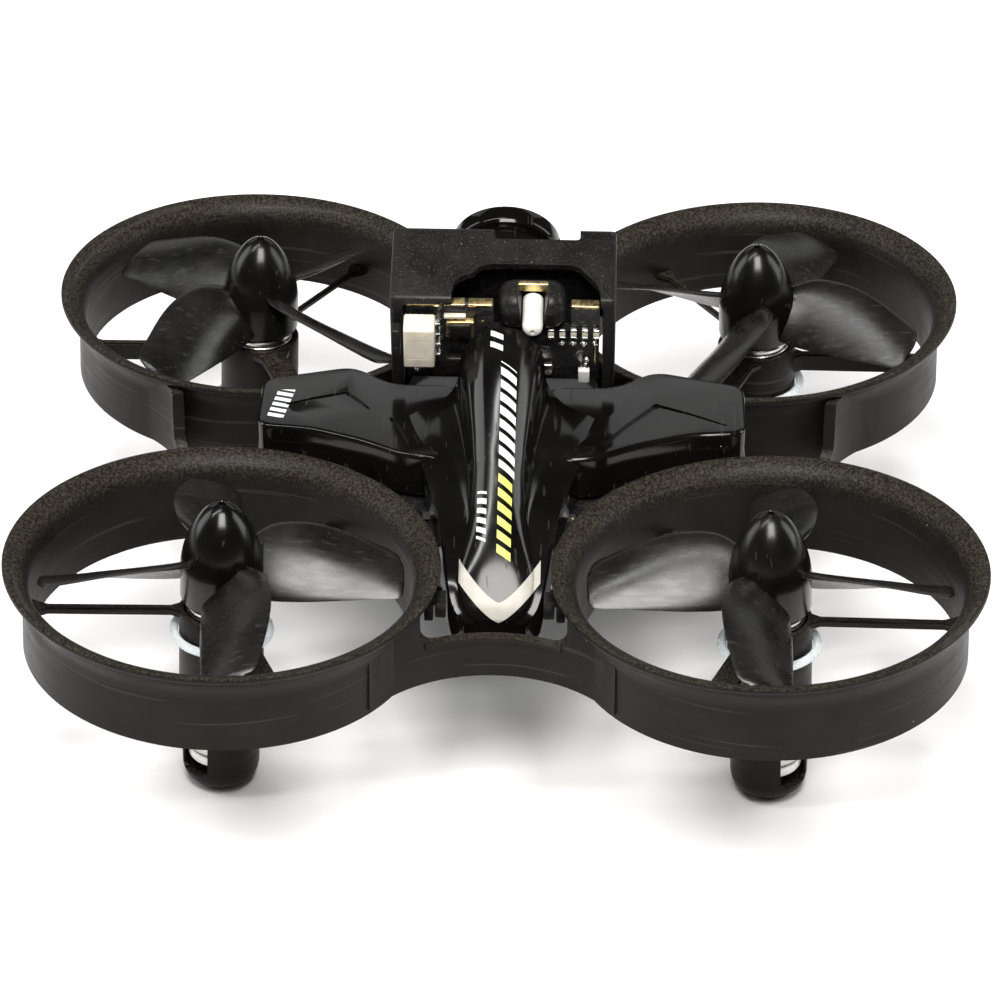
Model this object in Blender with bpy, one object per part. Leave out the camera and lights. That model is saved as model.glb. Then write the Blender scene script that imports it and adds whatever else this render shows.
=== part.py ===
"""Mini palm drone with four ducted propellers. Metres, +Z up, +Y is the drone's front.

The origin is on the ground, in the middle of the four motors. Each corner of the drone (duct, motor,
propeller) is modelled in its own frame, whose Z axis is the motor's axis and whose zero is the plane
of the duct's lip. Those frames lean slightly towards the drone's middle. The camera module has a
frame of its own too, tilted up.
"""

import math

import bmesh
import bpy
from mathutils import Matrix, Vector

MM = 0.001

# Driving dimensions, in millimetres.
MOTOR_SPACING = 46.0
DUCT_WALL_RADIUS = 16.75  # outside of the duct's wall
DUCT_WALL = 0.75
DUCT_LIP_RADIUS = 18.4
DUCT_HEIGHT = 8.0
FOOT_DEPTH = 22.35  # from the lip's plane to the bottom of the landing foot
FOOT_TRIM = 0.08  # cut off the foot's bottom, so that it stands flat
CANT_X = 0.030  # how much each motor leans inwards, as a slope
CANT_Y = 0.010
DUCT_SEGMENTS = 40
GAP = 0.3  # between neighbouring pieces

SLEEVE_RADIUS = 3.6
SLEEVE_BORE = 3.15
SLEEVE_TOP = -4.75
CAN_RADIUS = 3.0
CAN_TOP = -4.0
SHAFT_RADIUS = 0.4
# Turn from the outward direction in degrees, width, and top and height on the rear and front ducts.
STRUTS = (
    (-3.5, 0.8, -4.9, 0.7, -5.8, 1.8),
    (122, 0.6, -4.9, 0.6, -4.9, 0.6),
    (-112, 2.4, -4.9, 0.7, -4.9, 0.7),
)

PROPELLER_RADIUS = 15.4
BLADES = 4
HUB_RADIUS = 3.5
HUB_BOTTOM = -3.7
SPINNER_HEIGHT = 5.5

WEB_RADIUS = 12.05  # hollow curve of the web between two ducts
WEB_WALL = 0.75
WEB_TOP = 21.4

SHELL = 0.7  # canopy wall
WING_TOP = 23.9
WING_SKIRT = 19.9

MODULE_TILT = math.radians(18.3)  # the camera looks up by this much
MODULE_FOOT = (0.0, 2.0, 23.5)
MODULE_WIDTH = 19.6
MODULE_DEPTH = 8.6
MODULE_HEIGHT = 12.8
LENS_HEIGHT = 6.5
LENS_RADIUS = 4.9

BATTERY = (12.0, 26.0, 7.0)
BATTERY_REAR = -4.5
BATTERY_BOTTOM = 6.8
BOARD_BOTTOM = 18.6
BOARD_THICKNESS = 0.8
POST_X = 6.2
POST_Y = 5.6

HALF = MOTOR_SPACING / 2
CANT = math.hypot(CANT_X, CANT_Y)
LIP_Z = (FOOT_DEPTH - FOOT_TRIM) / math.sqrt(1 + CANT**2)

# Name, side (-1 left), end (-1 rear), turning direction seen from above (1 anticlockwise), rest angle
# of the propeller and height of the damper ring.
CORNERS = (
    ("rear_left", -1, -1, 1, 2.0, -7.1),
    ("rear_right", 1, -1, -1, 1.5, -7.5),
    ("front_left", -1, 1, -1, -30.0, -12.0),
    ("front_right", 1, 1, 1, -29.0, -9.0),
)


def clear_scene():
    for obj in list(bpy.data.objects):
        bpy.data.objects.remove(obj, do_unlink=True)


def make_material(name, color, roughness, metallic=0.0, alpha=1.0):
    material = bpy.data.materials.new(name)
    material.use_nodes = True
    shader = material.node_tree.nodes["Principled BSDF"]
    shader.inputs["Base Color"].default_value = (*color, 1.0)
    shader.inputs["Roughness"].default_value = roughness
    shader.inputs["Metallic"].default_value = metallic
    shader.inputs["Alpha"].default_value = alpha
    return material


def add_object(name, bm, material=None, parent=None, smooth=False):
    """An object from a bmesh in millimetres, in its parent's frame, with all faces pointing out."""
    bmesh.ops.recalc_face_normals(bm, faces=bm.faces)
    bmesh.ops.scale(bm, vec=(MM, MM, MM), verts=bm.verts)
    mesh = bpy.data.meshes.new(name)
    bm.to_mesh(mesh)
    bm.free()
    if smooth:
        mesh.shade_smooth()
        mesh.set_sharp_from_angle(angle=math.radians(35))
    obj = bpy.data.objects.new(name, mesh)
    bpy.context.scene.collection.objects.link(obj)
    if material:
        mesh.materials.append(material)
    if parent:
        obj.parent = parent
    return obj


def add_helper(name, bm, parent=None):
    """A cutter or a tool for a union, which isn't a part itself."""
    obj = add_object(name, bm, parent=parent)
    obj.hide_render = True
    obj.display_type = "WIRE"
    return obj


def combine(obj, helper, operation):
    modifier = obj.modifiers.new(helper.name, "BOOLEAN")
    modifier.operation = operation
    modifier.object = helper
    modifier.solver = "EXACT"


def cut(obj, *helpers):
    for helper in helpers:
        combine(obj, helper, "DIFFERENCE")


def join(obj, *helpers):
    for helper in helpers:
        combine(obj, helper, "UNION")


def lathe(profile, segments, center=(0.0, 0.0)):
    """A closed solid turned about Z. The profile is (radius, height) points, and radius 0 is a pole."""
    bm = bmesh.new()
    rings = []
    for radius, height in profile:
        if radius == 0:
            rings.append([bm.verts.new((center[0], center[1], height))])
            continue
        ring = []
        for i in range(segments):
            angle = 2 * math.pi * i / segments
            x = center[0] + radius * math.cos(angle)
            y = center[1] + radius * math.sin(angle)
            ring.append(bm.verts.new((x, y, height)))
        rings.append(ring)
    pairs = list(zip(rings, rings[1:]))
    if len(rings[0]) > 1 and len(rings[-1]) > 1:
        pairs.append((rings[-1], rings[0]))
    for low, high in pairs:
        for i in range(segments):
            j = (i + 1) % segments
            if len(low) == 1 and len(high) == 1:
                continue
            if len(low) == 1:
                bm.faces.new((low[0], high[j], high[i]))
            elif len(high) == 1:
                bm.faces.new((low[i], low[j], high[0]))
            else:
                bm.faces.new((low[i], low[j], high[j], high[i]))
    return bm


def disc(radius, low, high, segments=24, center=(0.0, 0.0), edge=0.0):
    """A solid cylinder, with its edges chamfered by edge."""
    if edge:
        profile = [(0, low), (radius - edge, low), (radius, low + edge)]
        profile += [(radius, high - edge), (radius - edge, high), (0, high)]
    else:
        profile = [(0, low), (radius, low), (radius, high), (0, high)]
    return lathe(profile, segments, center)


def tube(inner, outer, low, high, segments=24, center=(0.0, 0.0)):
    return lathe([(inner, low), (outer, low), (outer, high), (inner, high)], segments, center)


def torus(major, minor, height, segments, sides):
    profile = []
    for i in range(sides):
        angle = 2 * math.pi * i / sides
        profile.append((major + minor * math.cos(angle), height + minor * math.sin(angle)))
    return lathe(profile, segments)


def box(low, high, edge=0.0):
    bm = bmesh.new()
    bmesh.ops.create_cube(bm, size=1.0)
    size = [b - a for a, b in zip(low, high)]
    middle = [(a + b) / 2 for a, b in zip(low, high)]
    bmesh.ops.scale(bm, vec=size, verts=bm.verts)
    bmesh.ops.translate(bm, vec=middle, verts=bm.verts)
    if edge:
        bmesh.ops.bevel(bm, geom=bm.edges, offset=edge, segments=1, affect="EDGES")
    return bm


def prism(outline, low, high):
    """An outline in X and Y, extruded from low to high."""
    bm = bmesh.new()
    face = bm.faces.new([bm.verts.new((x, y, low)) for x, y in outline])
    moved = bmesh.ops.extrude_face_region(bm, geom=[face])["geom"]
    top = [v for v in moved if isinstance(v, bmesh.types.BMVert)]
    bmesh.ops.translate(bm, vec=(0, 0, high - low), verts=top)
    return bm


def loft(sections):
    """A closed solid through sections, which are loops of as many points each."""
    bm = bmesh.new()
    loops = [[bm.verts.new(point) for point in section] for section in sections]
    count = len(loops[0])
    for first, second in zip(loops, loops[1:]):
        for i in range(count):
            j = (i + 1) % count
            bm.faces.new((first[i], first[j], second[j], second[i]))
    bm.faces.new(loops[0])
    bm.faces.new(reversed(loops[-1]))
    return bm


def turned(bm, matrix):
    bmesh.ops.transform(bm, matrix=matrix, verts=bm.verts)
    return bm


def arc(center, radius, start, end, steps):
    """Points on an arc, with its angles in degrees."""
    points = []
    for i in range(steps + 1):
        angle = math.radians(start + (end - start) * i / steps)
        points.append((center[0] + radius * math.cos(angle), center[1] + radius * math.sin(angle)))
    return points


# Frames -------------------------------------------------------------------------------------------


def corner_frame(name, side, end):
    """An empty at the middle of a duct's lip, with Z along the motor's axis."""
    axis = Vector((-side * CANT_X, -end * CANT_Y, 1.0)).normalized()
    x_axis = Vector((1, 0, 0))
    y_axis = axis.cross(x_axis).normalized()
    x_axis = y_axis.cross(axis)
    matrix = Matrix((x_axis, y_axis, axis)).transposed().to_4x4()
    matrix.translation = (side * HALF * MM, end * HALF * MM, LIP_Z * MM)
    empty = bpy.data.objects.new("axis_" + name, None)
    bpy.context.scene.collection.objects.link(empty)
    empty.matrix_world = matrix
    return empty


def module_frame():
    """An empty at the foot of the camera module, tilted up. Y is the lens's axis."""
    empty = bpy.data.objects.new("camera_module_frame", None)
    bpy.context.scene.collection.objects.link(empty)
    matrix = Matrix.Rotation(MODULE_TILT, 4, "X")
    matrix.translation = [c * MM for c in MODULE_FOOT]
    empty.matrix_world = matrix
    return empty


# Ducts, motors and propellers ----------------------------------------------------------------------


def duct_profile(clearance=0.0):
    """The duct wall's section: straight below, and flared to a thin lip at the top."""
    outer = DUCT_WALL_RADIUS + clearance
    lip = DUCT_LIP_RADIUS + clearance
    inner = DUCT_WALL_RADIUS - DUCT_WALL
    outside = [(outer, -DUCT_HEIGHT), (outer, -3.0), (outer + 0.65, -1.2)]
    rim = [(lip, -0.45), (lip, -0.08), (lip - 0.3, 0.0)]
    inside = [(inner + 1.2, -0.35), (inner + 0.35, -1.4), (inner, -3.8)]
    return outside + rim + inside + [(inner, -DUCT_HEIGHT)]


def duct_clearance(name, parent):
    """The room that a duct needs, as a cutter for what stands close to it."""
    room = [(0, -DUCT_HEIGHT - 4)]
    room += [(DUCT_WALL_RADIUS + GAP, -DUCT_HEIGHT - 4)]
    room += duct_profile(GAP)[1:5]
    room += [(DUCT_LIP_RADIUS + GAP, GAP), (0, GAP)]
    return add_helper("room_" + name, lathe(room, DUCT_SEGMENTS), parent)


def make_duct(name, side, end, parent, material):
    """Duct wall, three struts, motor sleeve and landing foot, which are one moulding."""
    duct = add_object("duct_" + name, lathe(duct_profile(), DUCT_SEGMENTS), material, parent, True)

    foot = [(0, -FOOT_DEPTH), (1.5, -FOOT_DEPTH), (2.4, -FOOT_DEPTH + 0.35), (3.0, -FOOT_DEPTH + 1.0)]
    cage = [(3.3, -FOOT_DEPTH + 2.0), (3.35, -17.0), (SLEEVE_RADIUS, -16.6)]
    rim = [(SLEEVE_RADIUS, SLEEVE_TOP - 0.15), (SLEEVE_RADIUS - 0.15, SLEEVE_TOP), (SLEEVE_BORE, SLEEVE_TOP)]
    bore = [(SLEEVE_BORE, -FOOT_DEPTH + 2.2), (2.6, -FOOT_DEPTH + 1.4), (0, -FOOT_DEPTH + 1.4)]
    sleeve = add_helper("sleeve_" + name, lathe(foot + cage + rim + bore, 20), parent)

    # The cage's two windows face the drone's middle and away from it.
    inward = math.degrees(math.atan2(-end, -side))
    for number, angle in enumerate((inward, inward + 180)):
        half = math.radians(43)
        reach = 6.0
        outline = [(0.0, 0.0), (reach, -reach * math.tan(half)), (reach, reach * math.tan(half))]
        window = prism([(x + 1.2, y) for x, y in outline], -FOOT_DEPTH + 1.7, -16.8)
        turned(window, Matrix.Rotation(math.radians(angle), 4, "Z"))
        cut(sleeve, add_helper(f"window_{number}_{name}", window, parent))
    join(duct, sleeve)

    outward = 0 if side > 0 else 180
    for number, (turn, width, rear_top, rear_height, front_top, front_height) in enumerate(STRUTS):
        top, height = (front_top, front_height) if end > 0 else (rear_top, rear_height)
        low = (SLEEVE_BORE + 0.2, -width / 2, top - height)
        high = (DUCT_WALL_RADIUS - DUCT_WALL / 2, width / 2, top)
        strut = box(low, high)
        turned(strut, Matrix.Rotation(math.radians(outward + side * turn), 4, "Z"))
        join(duct, add_helper(f"strut_{number}_{name}", strut, parent))

    ground = box((-8, -8, -30), (8, 8, 0))
    trim = add_helper("ground_" + name, ground)
    trim.location = (side * HALF * MM, end * HALF * MM, 0)
    cut(duct, trim)
    return duct


def make_motor(name, ring_height, parent, materials):
    can = [(0, -18.4), (CAN_RADIUS - 0.2, -18.4), (CAN_RADIUS, -18.2), (CAN_RADIUS, CAN_TOP - 0.25)]
    can += [(CAN_RADIUS - 0.25, CAN_TOP), (0.55, CAN_TOP), (0.55, CAN_TOP - 1.5), (0, CAN_TOP - 1.5)]
    add_object("motor_can_" + name, lathe(can, 20), materials["steel"], parent, True)
    add_object("motor_end_cap_" + name, disc(2.8, -19.6, -18.7, 16, edge=0.15),
               materials["white"], parent, True)
    add_object("damper_ring_" + name, torus(4.06, 0.38, ring_height, 20, 6),
               materials["silicone"], parent, True)
    shaft = disc(SHAFT_RADIUS, CAN_TOP - 1.2, 2.2, 10)
    add_object("motor_shaft_" + name, shaft, materials["steel"], parent, True)


# Along the blade: distance from the axis, how far forward and how high the leading edge and then the
# trailing edge are, and the thickness.
BLADE_STATIONS = (
    (2.2, 2.3, 0.6, -1.5, -2.9, 1.0),
    (4.2, 3.8, 1.15, -1.55, -3.2, 0.95),
    (6.9, 4.35, 1.05, -1.5, -3.25, 0.85),
    (9.5, 4.35, 0.55, -1.4, -3.15, 0.75),
    (12.5, 3.9, -0.45, -1.2, -3.05, 0.6),
    (14.6, 3.4, -1.2, -1.1, -2.95, 0.5),
    (15.15, 2.5, -1.6, -0.9, -2.85, 0.4),
)


def blade_sections(spin):
    """A blade along +X. Its leading edge is the high one, on the side that it turns to."""
    outline = ((0.0, 0.0), (0.3, 0.7), (0.7, 0.75), (1.0, 0.2), (0.7, -0.2), (0.3, -0.3))
    sections = []
    for radius, front, front_z, back, back_z, thickness in BLADE_STATIONS:
        chord = math.hypot(front - back, front_z - back_z)
        c, s = (front - back) / chord, (front_z - back_z) / chord
        section = []
        for along, across in outline:
            forward = back + along * chord * c - across * thickness * s
            up = back_z + along * chord * s + across * thickness * c
            section.append((radius, spin * forward, up))
        sections.append(section)
    return sections


def make_propeller(name, parent, spin, rest_angle, material):
    tip = [(0, SPINNER_HEIGHT - 0.6), (0.35, SPINNER_HEIGHT - 0.6), (0.35, SPINNER_HEIGHT)]
    spinner = [(0.9, 5.3), (1.7, 4.75), (2.4, 3.9), (2.95, 2.8), (3.33, 1.4), (HUB_RADIUS, -0.3)]
    skirt = [(HUB_RADIUS, HUB_BOTTOM + 0.15), (HUB_RADIUS - 0.15, HUB_BOTTOM)]
    bore = [(0.55, HUB_BOTTOM), (0.55, 2.5), (0, 2.5)]
    hub = lathe(tip + spinner + skirt + bore, 20)
    propeller = add_object("propeller_" + name, hub, material, parent, True)
    for number in range(BLADES):
        blade = loft(blade_sections(spin))
        angle = math.radians(rest_angle + 360 / BLADES * number)
        turned(blade, Matrix.Rotation(angle, 4, "Z"))
        join(propeller, add_helper(f"blade_{number}_{name}", blade, parent))


# Frame's webs and centre ----------------------------------------------------------------------------


def web_outline():
    """The rear web seen from above: a thin wall on an arc that is tangent to both ducts."""
    center = (0.0, -math.sqrt((DUCT_WALL_RADIUS + WEB_RADIUS) ** 2 - HALF**2) - HALF)
    outer = arc(center, WEB_RADIUS, 35, 145, 16)
    inner = arc(center, WEB_RADIUS + WEB_WALL, 145, 35, 16)
    return outer + inner


def make_web(name, turn, notch_half, notch_floor, rooms, material):
    bottom = LIP_Z - DUCT_HEIGHT + 0.2
    matrix = Matrix.Rotation(math.radians(turn), 4, "Z")
    web = add_object(name, turned(prism(web_outline(), bottom, WEB_TOP), matrix), material)
    notch = box((-notch_half, -40, notch_floor), (notch_half, -20, WEB_TOP + 5))
    across = [e for e in notch.edges if abs(e.verts[0].co.y - e.verts[1].co.y) > 1]
    floor_edges = [e for e in across if e.verts[0].co.z < notch_floor + 1]
    bmesh.ops.bevel(notch, geom=floor_edges, offset=1.2, segments=3, affect="EDGES")
    cut(web, add_helper("notch_" + name, turned(notch, matrix)), *rooms)


def make_centre_frame(rooms, material):
    """Battery tray, open at the rear, hung under a cross of four arms that hold the board's posts."""
    width, length, height = BATTERY
    room = 0.35
    wall = 0.8
    half = width / 2 + room + wall
    front = BATTERY_REAR + length + room + wall
    bottom = BATTERY_BOTTOM - room - wall
    top = BATTERY_BOTTOM + height + room + wall
    frame = add_object("centre_frame", box((-half, BATTERY_REAR, bottom), (half, front, top)), material)
    inside = box((-half + wall, BATTERY_REAR - 5, bottom + wall), (half - wall, front - wall, top - wall))
    cut(frame, add_helper("battery_room", inside))

    reach = 18.0
    holes = []
    for name, side, end, *_ in CORNERS:
        arm = box((2.0, -1.0, top - wall), (reach, 1.0, top + 1.6))
        turned(arm, Matrix.Rotation(math.atan2(end, side), 4, "Z"))
        join(frame, add_helper("arm_" + name, arm))
        place = (side * POST_X, end * POST_Y)
        join(frame, add_helper("post_" + name, disc(1.5, top - 0.4, BOARD_BOTTOM - 1.0, 16, place)))
        holes.append(add_helper("post_hole_" + name, disc(0.6, top + 0.2, BOARD_BOTTOM, 12, place)))
    cut(frame, *holes)
    cut(frame, *rooms)


# Canopy -----------------------------------------------------------------------------------------------


def canopy_section(y, ridge_z, ridge_half, flank_half, flank_z, bottom, inset=0.0):
    """Round ridge, hollow flank and straight skirt, from the right side's bottom over to the left's."""
    ridge_z -= inset
    ridge_half = max(ridge_half - inset, 0.25)
    flank_half = max(flank_half - inset, 0.4)
    flank_z -= inset
    shoulder_z = ridge_z - ridge_half * 1.05
    shoulder_z = max(shoulder_z, flank_z + 0.15)
    drop = shoulder_z - flank_z
    spread = flank_half - ridge_half
    half = [(flank_half, bottom), (flank_half, flank_z)]
    half += [(ridge_half + spread * 0.55, flank_z + drop * 0.16)]
    half += [(ridge_half + spread * 0.2, flank_z + drop * 0.5), (ridge_half, shoulder_z)]
    for angle in (30, 60):
        turn = math.radians(angle)
        z = shoulder_z + (ridge_z - shoulder_z) * math.sin(turn)
        half.append((ridge_half * math.cos(turn), z))
    points = [(x, y, z) for x, z in half]
    points.append((0.0, y, ridge_z))
    points += [(-x, y, z) for x, z in reversed(half)]
    return points


# Station, ridge height, ridge half width, flank half width, flank height and skirt's bottom.
REAR_STATIONS = (
    (-2.0, 33.0, 3.7, 8.3, 24.1, 19.9),
    (-6.0, 31.3, 3.2, 7.5, 23.9, 19.9),
    (-11.0, 28.4, 2.6, 6.2, 23.1, 19.9),
    (-14.0, 26.5, 2.4, 5.4, 22.5, 18.9),
    (-18.0, 23.9, 2.7, 4.8, 21.5, 17.9),
    (-22.0, 21.2, 3.2, 4.3, 20.1, 16.6),
    (-24.3, 19.3, 2.8, 3.7, 18.6, 15.9),
    (-25.2, 18.0, 1.6, 2.6, 17.5, 15.9),
)
FRONT_STATIONS = (
    (-3.0, 25.4, 3.4, 8.6, 23.6, 19.9),
    (5.0, 25.2, 3.2, 8.4, 23.4, 19.9),
    (12.0, 24.2, 2.9, 6.4, 22.4, 19.9),
    (18.0, 22.8, 2.6, 4.8, 21.2, 18.0),
    (23.0, 20.8, 2.4, 4.2, 19.4, 16.8),
    (25.2, 18.6, 1.6, 3.0, 17.9, 16.0),
)


def canopy_loft(stations, inset):
    sections = []
    last = len(stations) - 1
    for number, (y, ridge_z, ridge_half, flank_half, flank_z, bottom) in enumerate(stations):
        if inset:
            # The hollow stops short of the closed end and runs out of the open underside.
            y += 0 if number < last else math.copysign(inset, stations[0][0] - y)
            bottom -= 3.0
        sections.append(canopy_section(y, ridge_z, ridge_half, flank_half, flank_z, bottom, inset))
    return loft(sections)


def wing_outline(side, inset=0.0):
    """A wing from above, between the front and the rear duct. Its inner end is inside the canopy."""
    outer = 21.4 - inset
    front_corner = 4.2 - inset
    rear_corner = -4.0 + inset
    outline = [(4.0, -9.0), (8.3, -8.6 + inset), (11.9, -6.4 + inset), (16.6, -4.5 + inset)]
    outline += [(outer, rear_corner), (outer, front_corner), (13.4, 6.6 - inset), (9.8, 3.6 - inset)]
    outline += [(4.0, 3.6 - inset)]
    return [(side * x, y) for x, y in outline]


def make_canopy(rooms, module, material):
    canopy = add_object("canopy", canopy_loft(REAR_STATIONS, 0.0), material, smooth=True)
    join(canopy, add_helper("canopy_front", canopy_loft(FRONT_STATIONS, 0.0)))
    for side, name in ((-1, "left"), (1, "right")):
        wing = prism(wing_outline(side), WING_SKIRT, WING_TOP)
        join(canopy, add_helper("wing_" + name, wing))
    cut(canopy, add_helper("canopy_rear_hollow", canopy_loft(REAR_STATIONS, SHELL)))
    cut(canopy, add_helper("canopy_front_hollow", canopy_loft(FRONT_STATIONS, SHELL)))
    for side, name in ((-1, "left"), (1, "right")):
        hollow = prism(wing_outline(side, SHELL), WING_SKIRT - 3, WING_TOP - SHELL)
        cut(canopy, add_helper("wing_hollow_" + name, hollow))
    slot = box((-MODULE_WIDTH / 2 - GAP, -0.3, 1.0), (MODULE_WIDTH / 2 + GAP, 9.0, 16.0))
    cut(canopy, add_helper("module_room", slot, module), *rooms)


# Camera module ------------------------------------------------------------------------------------------


def make_camera_module(module, materials):
    half = MODULE_WIDTH / 2
    foot = 1.3
    wall = 1.1
    roof = 0.7
    front = 0.9
    housing = add_object("camera_housing", box((-half, 0, foot), (half, MODULE_DEPTH, MODULE_HEIGHT), 0.25),
                         materials["satin_black"], module)
    inside = box((-half + wall, -3, foot - 3), (half - wall, MODULE_DEPTH - front, MODULE_HEIGHT - roof))
    rear_notch = prism([(-4.5, -2), (-4.3, 2.2), (-2.6, 3.4), (-1.2, 4.3), (6.0, 4.3), (7.6, 2.8),
                        (8.4, 1.4), (8.5, -2)], MODULE_HEIGHT - 2, MODULE_HEIGHT + 2)
    front_step = box((-0.8, MODULE_DEPTH - front, MODULE_HEIGHT - 2),
                     (6.6, MODULE_DEPTH + 2, MODULE_HEIGHT + 2))
    below = box((-half - 2, 3.6, foot - 3), (half + 2, MODULE_DEPTH + 3, foot + 1.2))
    hole = turned(disc(4.2, -2, 4, 32), Matrix.Rotation(-math.pi / 2, 4, "X"))
    bmesh.ops.translate(hole, vec=(0, MODULE_DEPTH - 1, LENS_HEIGHT), verts=hole.verts)
    cutters = {"inside": inside, "rear_notch": rear_notch, "front_step": front_step,
               "below": below, "lens_hole": hole}
    for name, cutter in cutters.items():
        cut(housing, add_helper("housing_" + name, cutter, module))

    add_object("camera_board", box((-7.9, 5.4, 2.8), (7.9, 6.2, 11.4)), materials["board"], module)
    barrel = [(0, 6.6), (3.9, 6.6), (3.9, 9.1), (4.3, 9.3), (LENS_RADIUS, 9.9), (LENS_RADIUS, 12.3)]
    barrel += [(LENS_RADIUS - 0.3, 12.6), (3.9, 12.6), (3.5, 11.7), (0, 11.7)]
    upright = Matrix.Translation((0, 0, LENS_HEIGHT)) @ Matrix.Rotation(-math.pi / 2, 4, "X")
    add_object("lens_barrel", turned(lathe(barrel, 32), upright), materials["satin_black"], module, True)
    glass = [(0, 11.9), (3.0, 11.9), (3.3, 12.0), (2.4, 12.35), (1.2, 12.55), (0, 12.6)]
    add_object("lens_glass", turned(lathe(glass, 24), upright), materials["glass"], module, True)

    vtx = add_object("vtx_board", box((-8.4, 0.4, 2.2), (8.4, 1.2, 11.7)), materials["board"], module)
    cut(vtx, add_helper("vtx_notch", box((-0.8, -1, 8.6), (5.9, 3, 14)), module))

    shroud = add_object("antenna_shroud", box((-0.4, -0.4, 9.0), (5.5, 3.4, 12.6), 0.5),
                        materials["satin_black"], module)
    opening = [(1.0, 13.0), (4.2, 13.0), (3.9, 11.6), (3.7, 10.9), (3.7, 9.4), (1.5, 9.4), (1.5, 10.9),
               (1.3, 11.6)]
    opening = turned(prism(opening, -2.6, 2.0), Matrix.Rotation(math.pi / 2, 4, "X"))
    cut(shroud, add_helper("antenna_opening", opening, module))
    antenna = [(0, -2.4), (0.9, -2.4), (0.9, 0.9), (0.65, 1.35), (0, 1.5)]
    lying = Matrix.Translation((2.6, 0, 10.4)) @ Matrix.Rotation(math.pi / 2, 4, "X")
    add_object("antenna_tube", turned(lathe(antenna, 16), lying), materials["white"], module, True)

    switch = box((-8.55, -2.4, 6.5), (-5.85, -0.3, 11.3), 0.15)
    add_object("channel_switch", switch, materials["cream"], module)
    add_object("channel_button", box((-9.6, -1.8, 7.3), (-8.85, -0.6, 10.5), 0.1),
               materials["satin_black"], module)
    add_object("status_led", box((6.6, -0.5, 2.7), (7.6, 0.1, 4.3), 0.1), materials["white"], module)


# Electronics and battery --------------------------------------------------------------------------------


def make_electronics(materials):
    top = BOARD_BOTTOM + BOARD_THICKNESS
    half_x, half_y = 11.4, 10.6
    corner_x, corner_y = 6.6, 6.0
    outline = [(half_x, -corner_y), (half_x, corner_y), (corner_x, half_y), (-corner_x, half_y),
               (-half_x, corner_y), (-half_x, -corner_y), (-corner_x, -half_y), (corner_x, -half_y)]
    board = add_object("flight_controller", prism(outline, BOARD_BOTTOM, top), materials["board"])
    holders = ((-1, -1, "rear_left"), (1, -1, "rear_right"), (-1, 1, "front_left"), (1, 1, "front_right"))
    for side, end, name in holders:
        spot = (side * POST_X, end * POST_Y)
        cut(board, add_helper("board_hole_" + name, disc(0.75, BOARD_BOTTOM - 1, top + 1, 12, spot)))
        ring = tube(0.75, 1.5, BOARD_BOTTOM - 0.9, BOARD_BOTTOM - 0.1, 16, spot)
        add_object("board_grommet_" + name, ring, materials["rubber"], smooth=True)
        screw = [(0, 15.6), (0.4, 15.6), (0.4, top + 0.1), (1.1, top + 0.1), (1.1, top + 0.5)]
        screw += [(0.8, top + 0.75), (0, top + 0.75)]
        add_object("board_screw_" + name, lathe(screw, 16, spot), materials["steel"], smooth=True)
        socket = box((-1.7, -1.2, top + 0.1), (1.7, 1.2, top + 1.7), 0.1)
        bmesh.ops.translate(socket, vec=(side * 3.6, end * 8.8, 0), verts=socket.verts)
        add_object("motor_socket_" + name, socket, materials["cream"])
    chip = box((-2.5, -2.5, top + 0.1), (2.5, 2.5, top + 1.0), 0.1)
    add_object("main_chip", chip, materials["satin_black"])
    socket = box((-2.6, -10.4, BOARD_BOTTOM - 3.0), (2.6, -6.6, BOARD_BOTTOM - 0.1), 0.15)
    add_object("battery_socket", socket, materials["white"])

    width, length, height = BATTERY
    low = (-width / 2, BATTERY_REAR, BATTERY_BOTTOM)
    high = (width / 2, BATTERY_REAR + length, BATTERY_BOTTOM + height)
    add_object("battery", box(low, high, 0.8), materials["foil"])


def main():
    clear_scene()
    bpy.context.scene.unit_settings.scale_length = 1.0
    materials = {
        "frame_black": make_material("frame_black", (0.025, 0.023, 0.021), 0.5),
        "gloss_black": make_material("gloss_black", (0.008, 0.008, 0.008), 0.12),
        "satin_black": make_material("satin_black", (0.02, 0.02, 0.02), 0.4),
        "steel": make_material("steel", (0.65, 0.64, 0.62), 0.25, 1.0),
        "silicone": make_material("silicone", (0.8, 0.85, 0.88), 0.3, 0.0, 0.6),
        "white": make_material("white", (0.85, 0.85, 0.82), 0.35),
        "cream": make_material("cream", (0.82, 0.77, 0.66), 0.4),
        "glass": make_material("glass", (0.05, 0.05, 0.08), 0.02),
        "board": make_material("board", (0.012, 0.012, 0.014), 0.35),
        "rubber": make_material("rubber", (0.02, 0.02, 0.02), 0.8),
        "foil": make_material("foil", (0.45, 0.46, 0.5), 0.3, 0.6),
    }
    rooms = []
    for name, side, end, spin, rest_angle, ring_height in CORNERS:
        parent = corner_frame(name, side, end)
        rooms.append(duct_clearance(name, parent))
        make_duct(name, side, end, parent, materials["frame_black"])
        make_motor(name, ring_height, parent, materials)
        make_propeller(name, parent, spin, rest_angle, materials["gloss_black"])

    make_web("rear_web", 0, 6.1, 18.3, rooms, materials["frame_black"])
    make_web("right_web", 90, 5.2, 16.0, rooms, materials["frame_black"])
    make_web("front_web", 180, 6.1, 18.3, rooms, materials["frame_black"])
    make_web("left_web", 270, 5.2, 16.0, rooms, materials["frame_black"])
    make_centre_frame(rooms, materials["frame_black"])

    module = module_frame()
    make_canopy(rooms, module, materials["gloss_black"])
    make_camera_module(module, materials)
    make_electronics(materials)


main()
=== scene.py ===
"""Looks of the mini palm drone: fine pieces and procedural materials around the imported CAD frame.

Lengths are in millimetres in the tables below and become metres when a piece is made.
"""

import math
import random

import bmesh
import bpy
from mathutils import Matrix, Vector


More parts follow.
